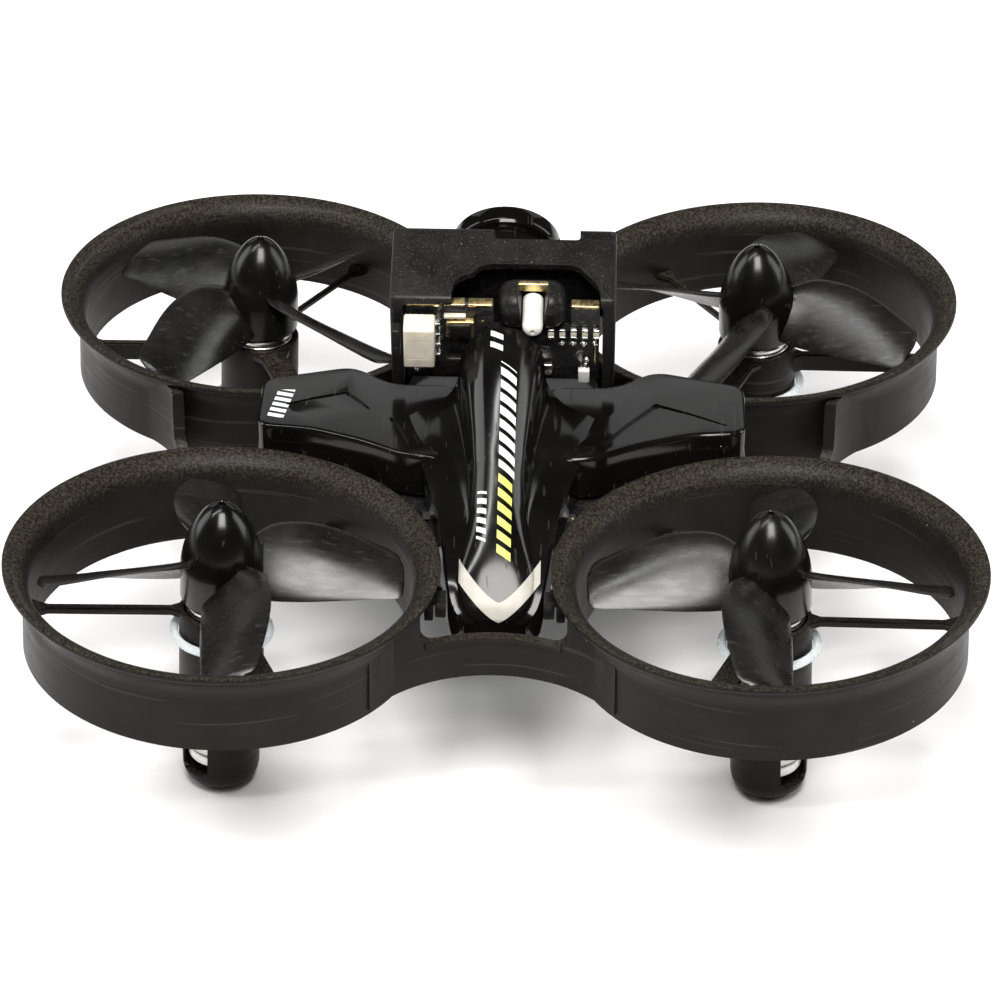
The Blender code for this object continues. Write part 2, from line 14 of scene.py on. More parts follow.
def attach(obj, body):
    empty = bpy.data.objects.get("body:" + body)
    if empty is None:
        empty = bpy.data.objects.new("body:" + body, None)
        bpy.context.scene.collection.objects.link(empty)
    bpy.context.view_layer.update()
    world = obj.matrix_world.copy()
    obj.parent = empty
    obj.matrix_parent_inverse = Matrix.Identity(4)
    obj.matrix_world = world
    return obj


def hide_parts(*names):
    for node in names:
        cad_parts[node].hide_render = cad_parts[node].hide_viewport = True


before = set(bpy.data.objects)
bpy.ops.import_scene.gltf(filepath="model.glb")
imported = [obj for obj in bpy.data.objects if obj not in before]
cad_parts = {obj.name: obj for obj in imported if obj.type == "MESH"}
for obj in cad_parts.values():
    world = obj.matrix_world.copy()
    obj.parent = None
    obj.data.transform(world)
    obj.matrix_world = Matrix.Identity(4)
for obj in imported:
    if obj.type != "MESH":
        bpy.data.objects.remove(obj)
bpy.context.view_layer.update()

MM = 0.001
SEED = 7
# How many steps a duct goes round in and a blade goes out in.
DUCT_SEGMENTS = 112
BLADE_RINGS = 26

# The CAD model's dimensions.
HALF = 23.0
CANT_X = 0.03
CANT_Y = 0.01
CANT = math.hypot(CANT_X, CANT_Y)
FOOT_DEPTH = 22.35
LIP_Z = (FOOT_DEPTH - 0.08) / math.sqrt(1 + CANT**2)
WALL_RADIUS = 16.75
SLEEVE_RADIUS = 3.6
SLEEVE_BORE = 3.15
SLEEVE_TOP = -4.75
# Each strut: its turn from outwards, its width, and its top and height at rear and front corners.
STRUTS = (
    (-3.5, 0.8, -4.9, 0.7, -5.8, 1.8),
    (122, 0.6, -4.9, 0.6, -4.9, 0.6),
    (-112, 2.4, -4.9, 0.7, -4.9, 0.7),
)
HUB_RADIUS = 3.5
BLADES = 4
WEB_RADIUS = 12.05
WEB_WALL = 0.75
WEB_BOTTOM = LIP_Z - 7.8
WEB_TOP = 21.4
# Each web: its turn from the rear, and its notch's half width and floor.
WEBS = ((0, 6.1, 18.3), (90, 5.2, 16.0), (180, 6.1, 18.3), (270, 5.2, 16.0))
WING_SKIRT = 19.9
WING_TOP = 23.9
SHELL = 0.7
# The nose chevron's low edge, its thickness and how far each of its edges climbs towards the sides.
CHEVRON_LOW = 1.61
CHEVRON_WIDTH = 1.68
CHEVRON_LOW_CLIMB = 3.28
CHEVRON_HIGH_CLIMB = 3.53
MODULE_TILT = math.radians(18.3)
MODULE_FOOT = (0.0, 2.0, 23.5)
LENS_HEIGHT = 6.5
# Each corner: name, side, end, spin, the first blade's angle and the damper ring's height.
CORNERS = (
    ("rear_left", -1, -1, 1, 2.0, -7.1),
    ("rear_right", 1, -1, -1, 1.5, -7.5),
    ("front_left", -1, 1, -1, -30.0, -12.0),
    ("front_right", 1, 1, 1, -29.0, -9.0),
)
# Each blade station: radius, leading edge and its height, trailing edge and its height, thickness.
BLADE_STATIONS = (
    (2.2, 2.3, 0.6, -1.5, -2.9, 1.1),
    (4.2, 3.8, 1.15, -1.55, -3.2, 0.95),
    (6.9, 4.35, 1.05, -1.5, -3.25, 0.8),
    (9.5, 4.35, 0.55, -1.4, -3.15, 0.7),
    (12.5, 3.9, -0.45, -1.2, -3.05, 0.6),
    (14.6, 3.4, -1.2, -1.1, -2.95, 0.5),
    (15.15, 2.5, -1.6, -0.9, -2.85, 0.36),
)
# The world's strength and the lamps' powers in watts.
WORLD = 0.05
KEY = 6.5
BACK = 1.5
SIDE = 1.6
STRIP = 3.2
# The camera solved from the photograph: its place, and its yaw, elevation and roll in degrees.
CAMERA_PLACE = (7.02, -334.75, 223.97)
CAMERA_ANGLES = (1.23, 32.084, 0.356)
FOCAL_LENGTH = 159.47
SENSOR_WIDTH = 36


# Node materials


class Nodes:
    """A Principled material and short calls that add nodes to it."""

    def __init__(self, name, color, roughness, metallic=0.0, **sockets):
        self.material = bpy.data.materials.new(name)
        self.material.use_nodes = True
        self.tree = self.material.node_tree
        self.shader = self.tree.nodes["Principled BSDF"]
        self.set("Base Color", (*color, 1.0))
        self.set("Roughness", roughness)
        self.set("Metallic", metallic)
        for key, value in sockets.items():
            self.set(key.replace("_", " "), value)
        coordinates = self.tree.nodes.new("ShaderNodeTexCoord")
        self.place = coordinates.outputs["Object"]
        self.height = None

    def set(self, socket, value):
        self.shader.inputs[socket].default_value = value

    def link(self, output, socket):
        self.tree.links.new(output, self.shader.inputs[socket])

    def feed(self, node, name, value):
        if isinstance(value, bpy.types.NodeSocket):
            self.tree.links.new(value, node.inputs[name])
        else:
            node.inputs[name].default_value = value

    def mapped(self, scale, rotation=(0, 0, 0)):
        node = self.tree.nodes.new("ShaderNodeMapping")
        self.feed(node, "Vector", self.place)
        self.feed(node, "Scale", scale)
        self.feed(node, "Rotation", rotation)
        return node.outputs["Vector"]

    def noise(self, scale, detail=2.0, rough=0.5, vector=None):
        node = self.tree.nodes.new("ShaderNodeTexNoise")
        self.feed(node, "Vector", vector or self.place)
        self.feed(node, "Scale", scale)
        self.feed(node, "Detail", detail)
        self.feed(node, "Roughness", rough)
        return node.outputs["Fac"]

    def voronoi(self, scale, feature="F1"):
        node = self.tree.nodes.new("ShaderNodeTexVoronoi")
        node.feature = feature
        self.feed(node, "Vector", self.place)
        self.feed(node, "Scale", scale)
        return node

    def math(self, operation, a, b=0.0):
        node = self.tree.nodes.new("ShaderNodeMath")
        node.operation = operation
        self.feed(node, 0, a)
        self.feed(node, 1, b)
        return node.outputs[0]

    def times(self, a, b):
        return self.math("MULTIPLY", a, b)

    def plus(self, a, b):
        return self.math("ADD", a, b)

    def remap(self, value, low, high, to_low=0.0, to_high=1.0):
        node = self.tree.nodes.new("ShaderNodeMapRange")
        self.feed(node, "Value", value)
        for name, number in (("From Min", low), ("From Max", high), ("To Min", to_low), ("To Max", to_high)):
            node.inputs[name].default_value = number
        return node.outputs["Result"]

    def mix(self, factor, a, b):
        node = self.tree.nodes.new("ShaderNodeMix")
        node.data_type = "RGBA"
        self.feed(node, 0, factor)
        for index, value in ((6, a), (7, b)):
            if isinstance(value, tuple):
                value = (*value, 1.0)
            self.feed(node, index, value)
        return node.outputs[2]

    def axes(self):
        node = self.tree.nodes.new("ShaderNodeSeparateXYZ")
        self.feed(node, 0, self.place)
        return node.outputs

    def facing_up(self):
        geometry = self.tree.nodes.new("ShaderNodeNewGeometry")
        node = self.tree.nodes.new("ShaderNodeSeparateXYZ")
        self.feed(node, 0, geometry.outputs["Normal"])
        return node.outputs[2]

    def bump(self, height, strength, distance):
        """Bumps add up: each new one takes the last one's normal."""
        node = self.tree.nodes.new("ShaderNodeBump")
        self.feed(node, "Height", height)
        node.inputs["Strength"].default_value = strength
        node.inputs["Distance"].default_value = distance * MM
        if self.height:
            self.tree.links.new(self.height, node.inputs["Normal"])
        self.height = node.outputs["Normal"]
        self.link(self.height, "Normal")

    def specks(self, scale, size, share):
        """Sparse round dust specks: 1 on a speck. About share of the cells hold one."""
        cells = self.voronoi(scale)
        near = self.math("LESS_THAN", cells.outputs["Distance"], size)
        node = self.tree.nodes.new("ShaderNodeSeparateColor")
        self.feed(node, 0, cells.outputs["Color"])
        chosen = self.math("LESS_THAN", node.outputs[0], share)
        return self.times(near, chosen)


def moulded_black():
    """Black nylon with a sandy mould texture, coarser on what faces up, where its lighter sandy colour is
    also a painted highlight, with scuffs and dust.
    """
    n = Nodes("frame_black_moulded", (0.008, 0.007, 0.006), 0.42, Specular_IOR_Level=0.13)
    grain = n.noise(4200, 3.0, 0.6)
    blotch = n.noise(240, 3.0, 0.55)
    up = n.remap(n.facing_up(), 0.12, 0.6)
    streaks = n.noise(1.0, 2.0, 0.5, n.mapped((90, 90, 2600)))
    scuff = n.math("GREATER_THAN", n.noise(1.0, 1.0, 0.4, n.mapped((60, 60, 3200), (0.12, 0.05, 0))), 0.69)
    base = n.mix(n.remap(blotch, 0.35, 0.7), (0.005, 0.004, 0.003), (0.01, 0.0082, 0.0064))
    # The sandy colour is the real mould grain and also a painted highlight: up-facing faces are lightened as
    # if lit from above.
    sandy_grain_and_highlight = n.mix(n.remap(grain, 0.42, 0.72), (0.006, 0.005, 0.0038), (0.066, 0.057, 0.044))
    color = n.mix(n.times(up, 0.75), base, sandy_grain_and_highlight)
    color = n.mix(n.times(scuff, 0.35), color, (0.05, 0.047, 0.042))
    color = n.mix(n.specks(520, 0.03, 0.1), color, (0.3, 0.29, 0.26))
    n.link(color, "Base Color")
    rough = n.plus(n.remap(blotch, 0.3, 0.75, 0.36, 0.5), n.remap(streaks, 0.3, 0.7, -0.04, 0.06))
    n.link(n.plus(rough, n.times(up, 0.06)), "Roughness")
    n.bump(n.times(grain, n.remap(n.facing_up(), 0.0, 0.6, 0.25, 1.0)), 0.55, 0.07)
    n.bump(streaks, 0.1, 0.03)
    return n.material


def gloss_black(name, wear=0.5, roughness=0.07):
    """Polished black plastic: hairline scratches, faint waviness and dust."""
    n = Nodes(name, (0.0045, 0.0045, 0.0045), 0.1, Specular_IOR_Level=0.34)
    haze = n.noise(160, 3.0, 0.6)
    hair = n.noise(1.0, 1.0, 0.3, n.mapped((2600, 160, 900), (0.2, 0.4, 0.7)))
    scratch = n.math("GREATER_THAN", hair, 0.735 - 0.03 * wear)
    color = n.mix(n.remap(haze, 0.35, 0.75), (0.0022, 0.0021, 0.002), (0.0055, 0.0051, 0.0045))
    color = n.mix(n.times(scratch, 0.1), color, (0.12, 0.12, 0.115))
    dust = n.specks(420, 0.035, 0.1 + 0.08 * wear)
    color = n.mix(dust, color, (0.5, 0.49, 0.47))
    n.link(color, "Base Color")
    rough = n.remap(haze, 0.3, 0.8, roughness, roughness + 0.08 + 0.08 * wear)
    rough = n.plus(rough, n.times(scratch, 0.15))
    n.link(n.plus(rough, n.times(dust, 0.5)), "Roughness")
    n.bump(n.noise(70, 1.0, 0.4), 0.1, 0.1)
    return n


def blade_black():
    """Black nylon of the blades: half gloss with flow lines and fine scratches across them."""
    n = Nodes("gloss_black_blade", (0.006, 0.006, 0.0055), 0.26, Specular_IOR_Level=0.42)
    haze = n.noise(220, 3.0, 0.6)
    lines = n.noise(1.0, 2.0, 0.5, n.mapped((500, 2600, 2600), (0.3, 0.2, 0.5)))
    scratch = n.math("GREATER_THAN", lines, 0.66)
    color = n.mix(n.remap(haze, 0.35, 0.75), (0.0045, 0.0045, 0.004), (0.012, 0.0115, 0.01))
    n.link(n.mix(n.times(scratch, 0.12), color, (0.12, 0.12, 0.11)), "Base Color")
    rough = n.plus(n.remap(haze, 0.3, 0.8, 0.22, 0.34), n.remap(lines, 0.3, 0.7, -0.03, 0.05))
    n.link(rough, "Roughness")
    n.bump(n.noise(900, 2.0, 0.5), 0.12, 0.03)
    return n.material


def canopy_material():
    """The gloss black with painted generic slanted bars along the ridge, two small white painted reflection
    marks on the ridge top, and a grey chevron on the nose.
    """
    n = gloss_black("gloss_black_canopy", 0.7)
    x, y, z = (n.times(axis, 1000.0) for axis in n.axes())
    color = n.shader.inputs["Base Color"].links[0].from_socket
    slant = n.plus(y, n.times(x, 0.55))

    def between(value, low, high):
        above = n.math("GREATER_THAN", value, low)
        return n.times(above, n.math("LESS_THAN", value, high))

    def bars(x_low, x_high, y_low, y_high, pitch, share):
        phase = n.math("FRACT", n.math("DIVIDE", slant, pitch))
        inside = n.times(between(x, x_low, x_high), between(slant, y_low, y_high))
        return n.times(inside, n.math("LESS_THAN", phase, share))

    white = bars(0.0, 1.35, -14.2, -5.4, 1.1, 0.62)
    small = bars(-1.75, -0.95, -20.6, -16.6, 0.8, 0.55)
    # Two small white marks on the ridge top: painted reflections of small bright steps there, not print.
    cap = n.times(between(x, -1.0, 0.1), bars(-1.0, 0.1, -4.4, -2.2, 1.1, 0.5))
    lime = bars(0.0, 1.2, -21.3, -14.6, 1.1, 0.6)
    wing_x = n.plus(x, n.times(y, -0.16))
    phase = n.math("FRACT", n.math("DIVIDE", n.plus(y, n.times(x, 0.3)), 0.95))
    wing = n.times(between(wing_x, -20.2, -18.7), between(y, -2.7, 2.1))
    wing = n.times(wing, n.math("LESS_THAN", phase, 0.6))
    top = n.math("GREATER_THAN", n.facing_up(), 0.35)
    print_and_reflection_marks = n.math("MAXIMUM", n.math("MAXIMUM", white, small), n.math("MAXIMUM", wing, cap))
    mottle = n.noise(900, 2.0, 0.5)
    white_print_and_reflection = n.mix(mottle, (0.62, 0.66, 0.68), (0.8, 0.83, 0.84))
    lime_paint = n.mix(mottle, (0.5, 0.58, 0.1), (0.62, 0.68, 0.16))
    color = n.mix(n.times(print_and_reflection_marks, top), color, white_print_and_reflection)
    color = n.mix(n.times(lime, top), color, lime_paint)

    # The chevron lies between two V lines in a plane that leans back across the nose.
    lean = n.plus(n.times(y, 0.531), n.times(z, 0.847))
    side = n.math("ABSOLUTE", n.math("SUBTRACT", x, 0.3))
    curve = n.math("POWER", n.math("DIVIDE", side, 3.4), 1.4)
    low_edge = n.plus(n.times(curve, CHEVRON_LOW_CLIMB), CHEVRON_LOW)
    high_edge = n.plus(n.times(curve, CHEVRON_HIGH_CLIMB), CHEVRON_LOW + CHEVRON_WIDTH)
    chevron = n.times(n.math("GREATER_THAN", lean, low_edge), n.math("LESS_THAN", lean, high_edge))
    chevron = n.times(chevron, n.math("LESS_THAN", side, 3.45))
    chevron = n.times(chevron, n.math("LESS_THAN", y, -15.0))
    silver = n.mix(mottle, (0.36, 0.355, 0.31), (0.52, 0.51, 0.46))
    color = n.mix(chevron, color, silver)
    n.link(color, "Base Color")
    painted = n.math("MAXIMUM", chevron, n.times(n.math("MAXIMUM", print_and_reflection_marks, lime), top))
    rough = n.shader.inputs["Roughness"].links[0].from_socket
    n.link(n.plus(rough, n.times(painted, 0.25)), "Roughness")
    n.bump(painted, 0.3, 0.02)
    return n.material


def satin_black():
    """Satin black plastic with a fine spark texture, rubbed lighter at random and dusty."""
    n = Nodes("satin_black_housing", (0.01, 0.01, 0.009), 0.42, Specular_IOR_Level=0.24)
    grain = n.noise(5200, 2.0, 0.5)
    blotch = n.noise(300, 3.0, 0.6)
    color = n.mix(n.remap(blotch, 0.35, 0.75), (0.005, 0.0046, 0.004), (0.011, 0.01, 0.0085))
    color = n.mix(n.remap(grain, 0.58, 0.72), color, (0.045, 0.04, 0.034))
    color = n.mix(n.specks(1300, 0.07, 0.16), color, (0.26, 0.24, 0.2))
    n.link(color, "Base Color")
    n.link(n.remap(blotch, 0.3, 0.8, 0.32, 0.52), "Roughness")
    n.bump(grain, 0.35, 0.04)
    return n.material


def steel():
    n = Nodes("steel_drawn", (0.62, 0.61, 0.59), 0.24, 1.0, Anisotropic=0.4)
    lines = n.noise(1.0, 2.0, 0.6, n.mapped((300, 300, 6000)))
    stain = n.noise(500, 3.0, 0.6)
    n.link(n.mix(stain, (0.45, 0.44, 0.42), (0.74, 0.73, 0.7)), "Base Color")
    n.link(n.remap(lines, 0.3, 0.7, 0.16, 0.36), "Roughness")
    n.bump(lines, 0.15, 0.02)
    return n.material


def grained(name, color, rough, metallic, grain, colors, roughs, bump, **sockets):
    """A material whose colour, roughness and relief follow one fine noise."""
    n = Nodes(name, color, rough, metallic, **sockets)
    field = n.noise(*grain)
    n.link(n.mix(field, *colors), "Base Color")
    n.link(n.remap(field, 0.3, 0.7, *roughs), "Roughness")
    n.bump(field, *bump)
    return n


def silicone():
    n = grained("silicone_clear", (0.8, 0.87, 0.9), 0.22, 0.0, (700, 3.0, 0.6),
                ((0.74, 0.84, 0.9), (0.9, 0.94, 0.95)), (0.16, 0.34), (0.2, 0.03),
                Transmission_Weight=0.35, Subsurface_Weight=0.35, IOR=1.41)
    n.set("Subsurface Radius", (0.0012, 0.0013, 0.0014))
    return n.material


def pale_plastic(name, dark, light, roughness):
    """Light moulded plastic with a faint mottle and shiny worn spots."""
    n = Nodes(name, light, roughness, Subsurface_Weight=0.08)
    n.set("Subsurface Radius", (0.0006, 0.0005, 0.0004))
    mottle = n.noise(1100, 4.0, 0.6)
    n.link(n.mix(n.remap(mottle, 0.3, 0.7), dark, light), "Base Color")
    n.link(n.remap(mottle, 0.3, 0.7, roughness - 0.1, roughness + 0.1), "Roughness")
    n.bump(n.noise(3800, 2.0, 0.5), 0.25, 0.03)
    return n.material


def lens_glass():
    """Dark coated lens: the coating turns from blue to magenta towards the rim."""
    n = Nodes("glass_coated", (0.01, 0.01, 0.022), 0.03, Coat_Weight=1.0, Coat_Roughness=0.02)
    rim = n.tree.nodes.new("ShaderNodeLayerWeight")
    rim.inputs["Blend"].default_value = 0.35
    n.link(n.mix(rim.outputs["Facing"], (0.01, 0.012, 0.05), (0.055, 0.01, 0.04)), "Base Color")
    n.link(n.remap(n.noise(1500, 2.0, 0.5), 0.4, 0.8, 0.02, 0.07), "Roughness")
    return n.material


def circuit_board():
    """Black solder mask over faint traces, with small bare vias."""
    n = Nodes("board_black_mask", (0.01, 0.01, 0.012), 0.3)
    traces = n.voronoi(900, "DISTANCE_TO_EDGE").outputs["Distance"]
    raised = n.remap(traces, 0.04, 0.09, 1.0, 0.0)
    color = n.mix(n.times(raised, 0.5), (0.008, 0.008, 0.01), (0.028, 0.026, 0.018))
    vias = n.specks(1100, 0.12, 0.1)
    n.link(n.mix(vias, color, (0.55, 0.4, 0.16)), "Base Color")
    n.link(n.remap(n.noise(2000, 2.0, 0.5), 0.3, 0.7, 0.22, 0.4), "Roughness")
    n.bump(raised, 0.4, 0.03)
    return n.material


def gold():
    return grained("gold_plating", (0.85, 0.62, 0.25), 0.25, 1.0, (1500, 4.0, 0.6),
                   ((0.62, 0.44, 0.15), (0.95, 0.8, 0.45)), (0.18, 0.42), (0.3, 0.03)).material


def solder():
    return grained("solder_tinned", (0.75, 0.75, 0.74), 0.18, 1.0, (2600, 3.0, 0.6),
                   ((0.55, 0.55, 0.55), (0.92, 0.92, 0.9)), (0.1, 0.34), (0.3, 0.03)).material


def rubber():
    return grained("rubber_matt", (0.018, 0.018, 0.018), 0.8, 0.0, (2500, 4.0, 0.6),
                   ((0.012, 0.012, 0.012), (0.032, 0.031, 0.03)), (0.7, 0.9), (0.4, 0.04)).material


def foil():
    """The cell's aluminium laminate: crinkled, under clear film."""
    n = Nodes("foil_laminate", (0.5, 0.51, 0.54), 0.32, 0.9, Coat_Weight=0.5, Coat_Roughness=0.12)
    crinkle = n.voronoi(420, "DISTANCE_TO_EDGE").outputs["Distance"]
    soft = n.noise(260, 4.0, 0.65)
    n.link(n.mix(soft, (0.38, 0.39, 0.42), (0.62, 0.63, 0.66)), "Base Color")
    n.link(n.remap(soft, 0.3, 0.7, 0.22, 0.42), "Roughness")
    n.bump(crinkle, 0.35, 0.1)
    n.bump(soft, 0.4, 0.15)
    return n.material


MATERIALS = {
    "frame": moulded_black(),
    "canopy": canopy_material(),
    "propeller": gloss_black("gloss_black_propeller", 0.6, 0.17).material,
    "blade": blade_black(),
    "satin": satin_black(),
    "gloss": gloss_black("gloss_black_ring", 0.5).material,
    "steel": steel(),
    "silicone": silicone(),
    "white": pale_plastic("white_plastic", (0.7, 0.7, 0.66), (0.86, 0.86, 0.83), 0.32),
    "cream": pale_plastic("cream_plastic", (0.62, 0.57, 0.46), (0.78, 0.73, 0.62), 0.38),
    "glass": lens_glass(),
    "board": circuit_board(),
    "gold": gold(),
    "solder": solder(),
    "rubber": rubber(),
    "foil": foil(),
}


# Mesh tools


def new_object(name, data):
    obj = bpy.data.objects.new(name, data)
    bpy.context.scene.collection.objects.link(obj)
    return obj


def as_object(name, bm, matrix=None):
    """A plain object from a bmesh in millimetres, in metres and the CAD model's frame."""
    if matrix:
        bmesh.ops.transform(bm, matrix=matrix, verts=bm.verts)
    bmesh.ops.recalc_face_normals(bm, faces=bm.faces)
    bmesh.ops.scale(bm, vec=(MM, MM, MM), verts=bm.verts)
    mesh = bpy.data.meshes.new(name)
    bm.to_mesh(mesh)
    bm.free()
    return new_object(name, mesh)


def settle(obj):
    """Applies the object's modifiers."""
    graph = bpy.context.evaluated_depsgraph_get()
    mesh = bpy.data.meshes.new_from_object(obj.evaluated_get(graph))
    obj.modifiers.clear()
    obj.data = mesh


def boolean(obj, tools, operation):
    """Cuts, joins or meets obj with the tools, which are used up."""
    for tool in tools:
        modifier = obj.modifiers.new("boolean", "BOOLEAN")
        modifier.operation = operation
        modifier.object = tool
        modifier.solver = "EXACT"
    settle(obj)
    for tool in tools:
        bpy.data.objects.remove(tool, do_unlink=True)


def bevel(obj, width, segments, angle):
    modifier = obj.modifiers.new("bevel", "BEVEL")
    modifier.width = width * MM
    modifier.segments = segments
    modifier.limit_method = "ANGLE"
    modifier.angle_limit = math.radians(angle)
    modifier.miter_outer = "MITER_ARC"


def finish_piece(obj, material, replaces=(), sharp=38, body="frame"):
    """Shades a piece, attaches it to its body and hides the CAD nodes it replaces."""
    mesh = obj.data
    mesh.materials.clear()
    mesh.materials.append(MATERIALS[material])
    mesh.shade_smooth()
    mesh.set_sharp_from_angle(angle=math.radians(sharp))
    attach(obj, body)
    if replaces:
        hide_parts(*replaces)


def turns(count):
    """The angles of count even steps round a circle."""
    return [2 * math.pi * i / count for i in range(count)]


def lathe(profile, segments):
    """A turned solid: the profile's points are radius and height."""
    bm = bmesh.new()
    rings = []
    for radius, height in profile:
        if radius == 0:
            rings.append([bm.verts.new((0.0, 0.0, height))])
            continue
        circle = [(radius * math.cos(turn), radius * math.sin(turn), height) for turn in turns(segments)]
        rings.append([bm.verts.new(point) for point in circle])
    pairs = list(zip(rings, rings[1:]))
    if len(rings[0]) > 1 and len(rings[-1]) > 1:
        pairs.append((rings[-1], rings[0]))
    for low, high in pairs:
        for i in range(segments):
            j = (i + 1) % segments
            if len(low) == 1:
                bm.faces.new((low[0], high[j], high[i]))
            elif len(high) == 1:
                bm.faces.new((low[i], low[j], high[0]))
            else:
                bm.faces.new((low[i], low[j], high[j], high[i]))
    return bm


def turned(name, profile, segments, matrix, material, replaced, sharp=30):
    """A finished turned piece that stands for one CAD node of the frame's body."""
    finish_piece(as_object(name, lathe(profile, segments), matrix), material, [replaced], sharp)


def box(low, high, edge=0.0, segments=2):
    bm = bmesh.new()
    bmesh.ops.create_cube(bm, size=1.0)
    bmesh.ops.scale(bm, vec=[b - a for a, b in zip(low, high)], verts=bm.verts)
    bmesh.ops.translate(bm, vec=[(a + b) / 2 for a, b in zip(low, high)], verts=bm.verts)
    if edge:
        bmesh.ops.bevel(bm, geom=bm.edges, offset=edge, segments=segments, affect="EDGES", profile=0.5)
    return bm


def prism(outline, low, high):
    """A flat outline raised from one height to another."""
    bm = bmesh.new()
    face = bm.faces.new([bm.verts.new((x, y, low)) for x, y in outline])
    moved = bmesh.ops.extrude_face_region(bm, geom=[face])["geom"]
    top = [v for v in moved if isinstance(v, bmesh.types.BMVert)]
    bmesh.ops.translate(bm, vec=(0, 0, high - low), verts=top)
    return bm


def round_level_edges(bm, offset, segments):
    edges = [e for e in bm.edges if abs(e.verts[0].co.z - e.verts[1].co.z) < 0.01]
    bmesh.ops.bevel(bm, geom=edges, offset=offset, segments=segments, affect="EDGES")


def loft(sections):
    bm = bmesh.new()
    loops = [[bm.verts.new(point) for point in section] for section in sections]
    count = len(loops[0])
    for first, second in zip(loops, loops[1:]):
        for i in range(count):
            j = (i + 1) % count
            bm.faces.new((first[i], first[j], second[j], second[i]))
    bm.faces.new(loops[0])
    bm.faces.new(reversed(loops[-1]))
    return bm


def smooth_table(rows, count):
    """Rows of numbers resampled along a Catmull-Rom curve through them."""
    out = []
    last = len(rows) - 1
    for i in range(count + 1):
        place = last * i / count
        k = min(int(place), last - 1)
        t = place - k
        p0, p1, p2, p3 = rows[max(k - 1, 0)], rows[k], rows[k + 1], rows[min(k + 2, last)]
        row = []
        for a, b, c, d in zip(p0, p1, p2, p3):
            curve = 2 * b + (c - a) * t + (2 * a - 5 * b + 4 * c - d) * t**2
            row.append((curve + (3 * b - a - 3 * c + d) * t**3) / 2)
        out.append(row)
    return out


def arc(center, radius, start, end, steps):
    points = []
    for i in range(steps + 1):
        angle = math.radians(start + (end - start) * i / steps)
        points.append((center[0] + radius * math.cos(angle), center[1] + radius * math.sin(angle)))
    return points


def corner_matrix(side, end):
    """From a corner's own frame to the model's, in millimetres."""
    axis = Vector((-side * CANT_X, -end * CANT_Y, 1.0)).normalized()
    y_axis = axis.cross(Vector((1, 0, 0))).normalized()
    x_axis = y_axis.cross(axis)
    matrix = Matrix((x_axis, y_axis, axis)).transposed().to_4x4()
    matrix.translation = (side * HALF, end * HALF, LIP_Z)
    return matrix


def corner_solids(name, profile):
    """One turned solid at each of the four corners."""
    return [as_object(name, lathe(profile, 96), corner_matrix(side, end)) for _, side, end, *_ in CORNERS]


def module_matrix():
    matrix = Matrix.Rotation(MODULE_TILT, 4, "X")
    matrix.translation = MODULE_FOOT
    return matrix


MODULE = module_matrix()


# Frame moulding


def duct_section():
    """The duct wall's section with a rounded flare and lip."""
    outside = [(16.75, -8.0), (16.75, -3.2), (16.85, -2.6), (17.1, -1.9), (17.5, -1.25), (17.95, -0.8)]
    rim = [(18.32, -0.5), (18.4, -0.32), (18.4, -0.16), (18.34, -0.05), (18.2, 0.0), (18.0, -0.02)]
    inside = [(17.5, -0.2), (17.0, -0.5), (16.6, -0.95), (16.3, -1.6), (16.12, -2.5), (16.0, -3.8)]
    return outside + rim + inside + [(16.0, -7.85), (16.1, -8.0)]


def duct_piece(name, side, end):
    matrix = corner_matrix(side, end)
    duct = as_object("duct_form_" + name, lathe(duct_section(), DUCT_SEGMENTS), matrix)
    foot = [(0, -FOOT_DEPTH), (1.4, -FOOT_DEPTH), (1.9, -22.25), (2.4, -21.98), (3.0, -21.35), (3.2, -20.9)]
    cage = [(3.3, -20.35), (3.35, -17.1), (3.4, -16.85), (3.55, -16.65), (SLEEVE_RADIUS, -16.4)]
    cage += [(SLEEVE_RADIUS, -12.2), (3.54, -12.1), (3.54, -11.9), (SLEEVE_RADIUS, -11.8)]
    rim = [(SLEEVE_RADIUS, -4.95), (3.53, -4.8), (3.42, SLEEVE_TOP), (3.22, SLEEVE_TOP), (SLEEVE_BORE, -4.85)]
    bore = [(SLEEVE_BORE, -20.15), (2.6, -20.95), (0, -20.95)]
    sleeve = as_object("sleeve_form_" + name, lathe(foot + cage + rim + bore, 64), matrix)

    tools = []
    reach = 6.0
    inward = math.degrees(math.atan2(-end, -side))
    for turn in (inward, inward + 180):
        spread = reach * math.tan(math.radians(43))
        outline = [(1.2, 0.0), (reach + 1.2, -spread), (reach + 1.2, spread)]
        window = prism(outline, -FOOT_DEPTH + 1.7, -16.8)
        round_level_edges(window, 0.35, 3)
        tools.append(as_object("window", window, matrix @ Matrix.Rotation(math.radians(turn), 4, "Z")))
    boolean(sleeve, tools, "DIFFERENCE")

    parts = [sleeve]
    outward = 0 if side > 0 else 180
    for turn, width, rear_top, rear_height, front_top, front_height in STRUTS:
        top, height = (front_top, front_height) if end > 0 else (rear_top, rear_height)
        half = width / 2
        # Each strut widens into a gusset where it meets the wall and the sleeve.
        outline = [(3.35, -half - 0.55), (4.3, -half), (14.6, -half), (16.35, -half - 0.9)]
        outline += [(16.35, half + 0.9), (14.6, half), (4.3, half), (3.35, half + 0.55)]
        strut = prism(outline, top - height, top)
        round_level_edges(strut, 0.15, 2)
        spin = Matrix.Rotation(math.radians(outward + side * turn), 4, "Z")
        parts.append(as_object("strut", strut, matrix @ spin))
    boolean(duct, parts, "UNION")
    x, y = side * HALF, end * HALF
    ground = box((x - 8, y - 8, -30), (x + 8, y + 8, 0))
    boolean(duct, [as_object("ground", ground)], "DIFFERENCE")
    return duct


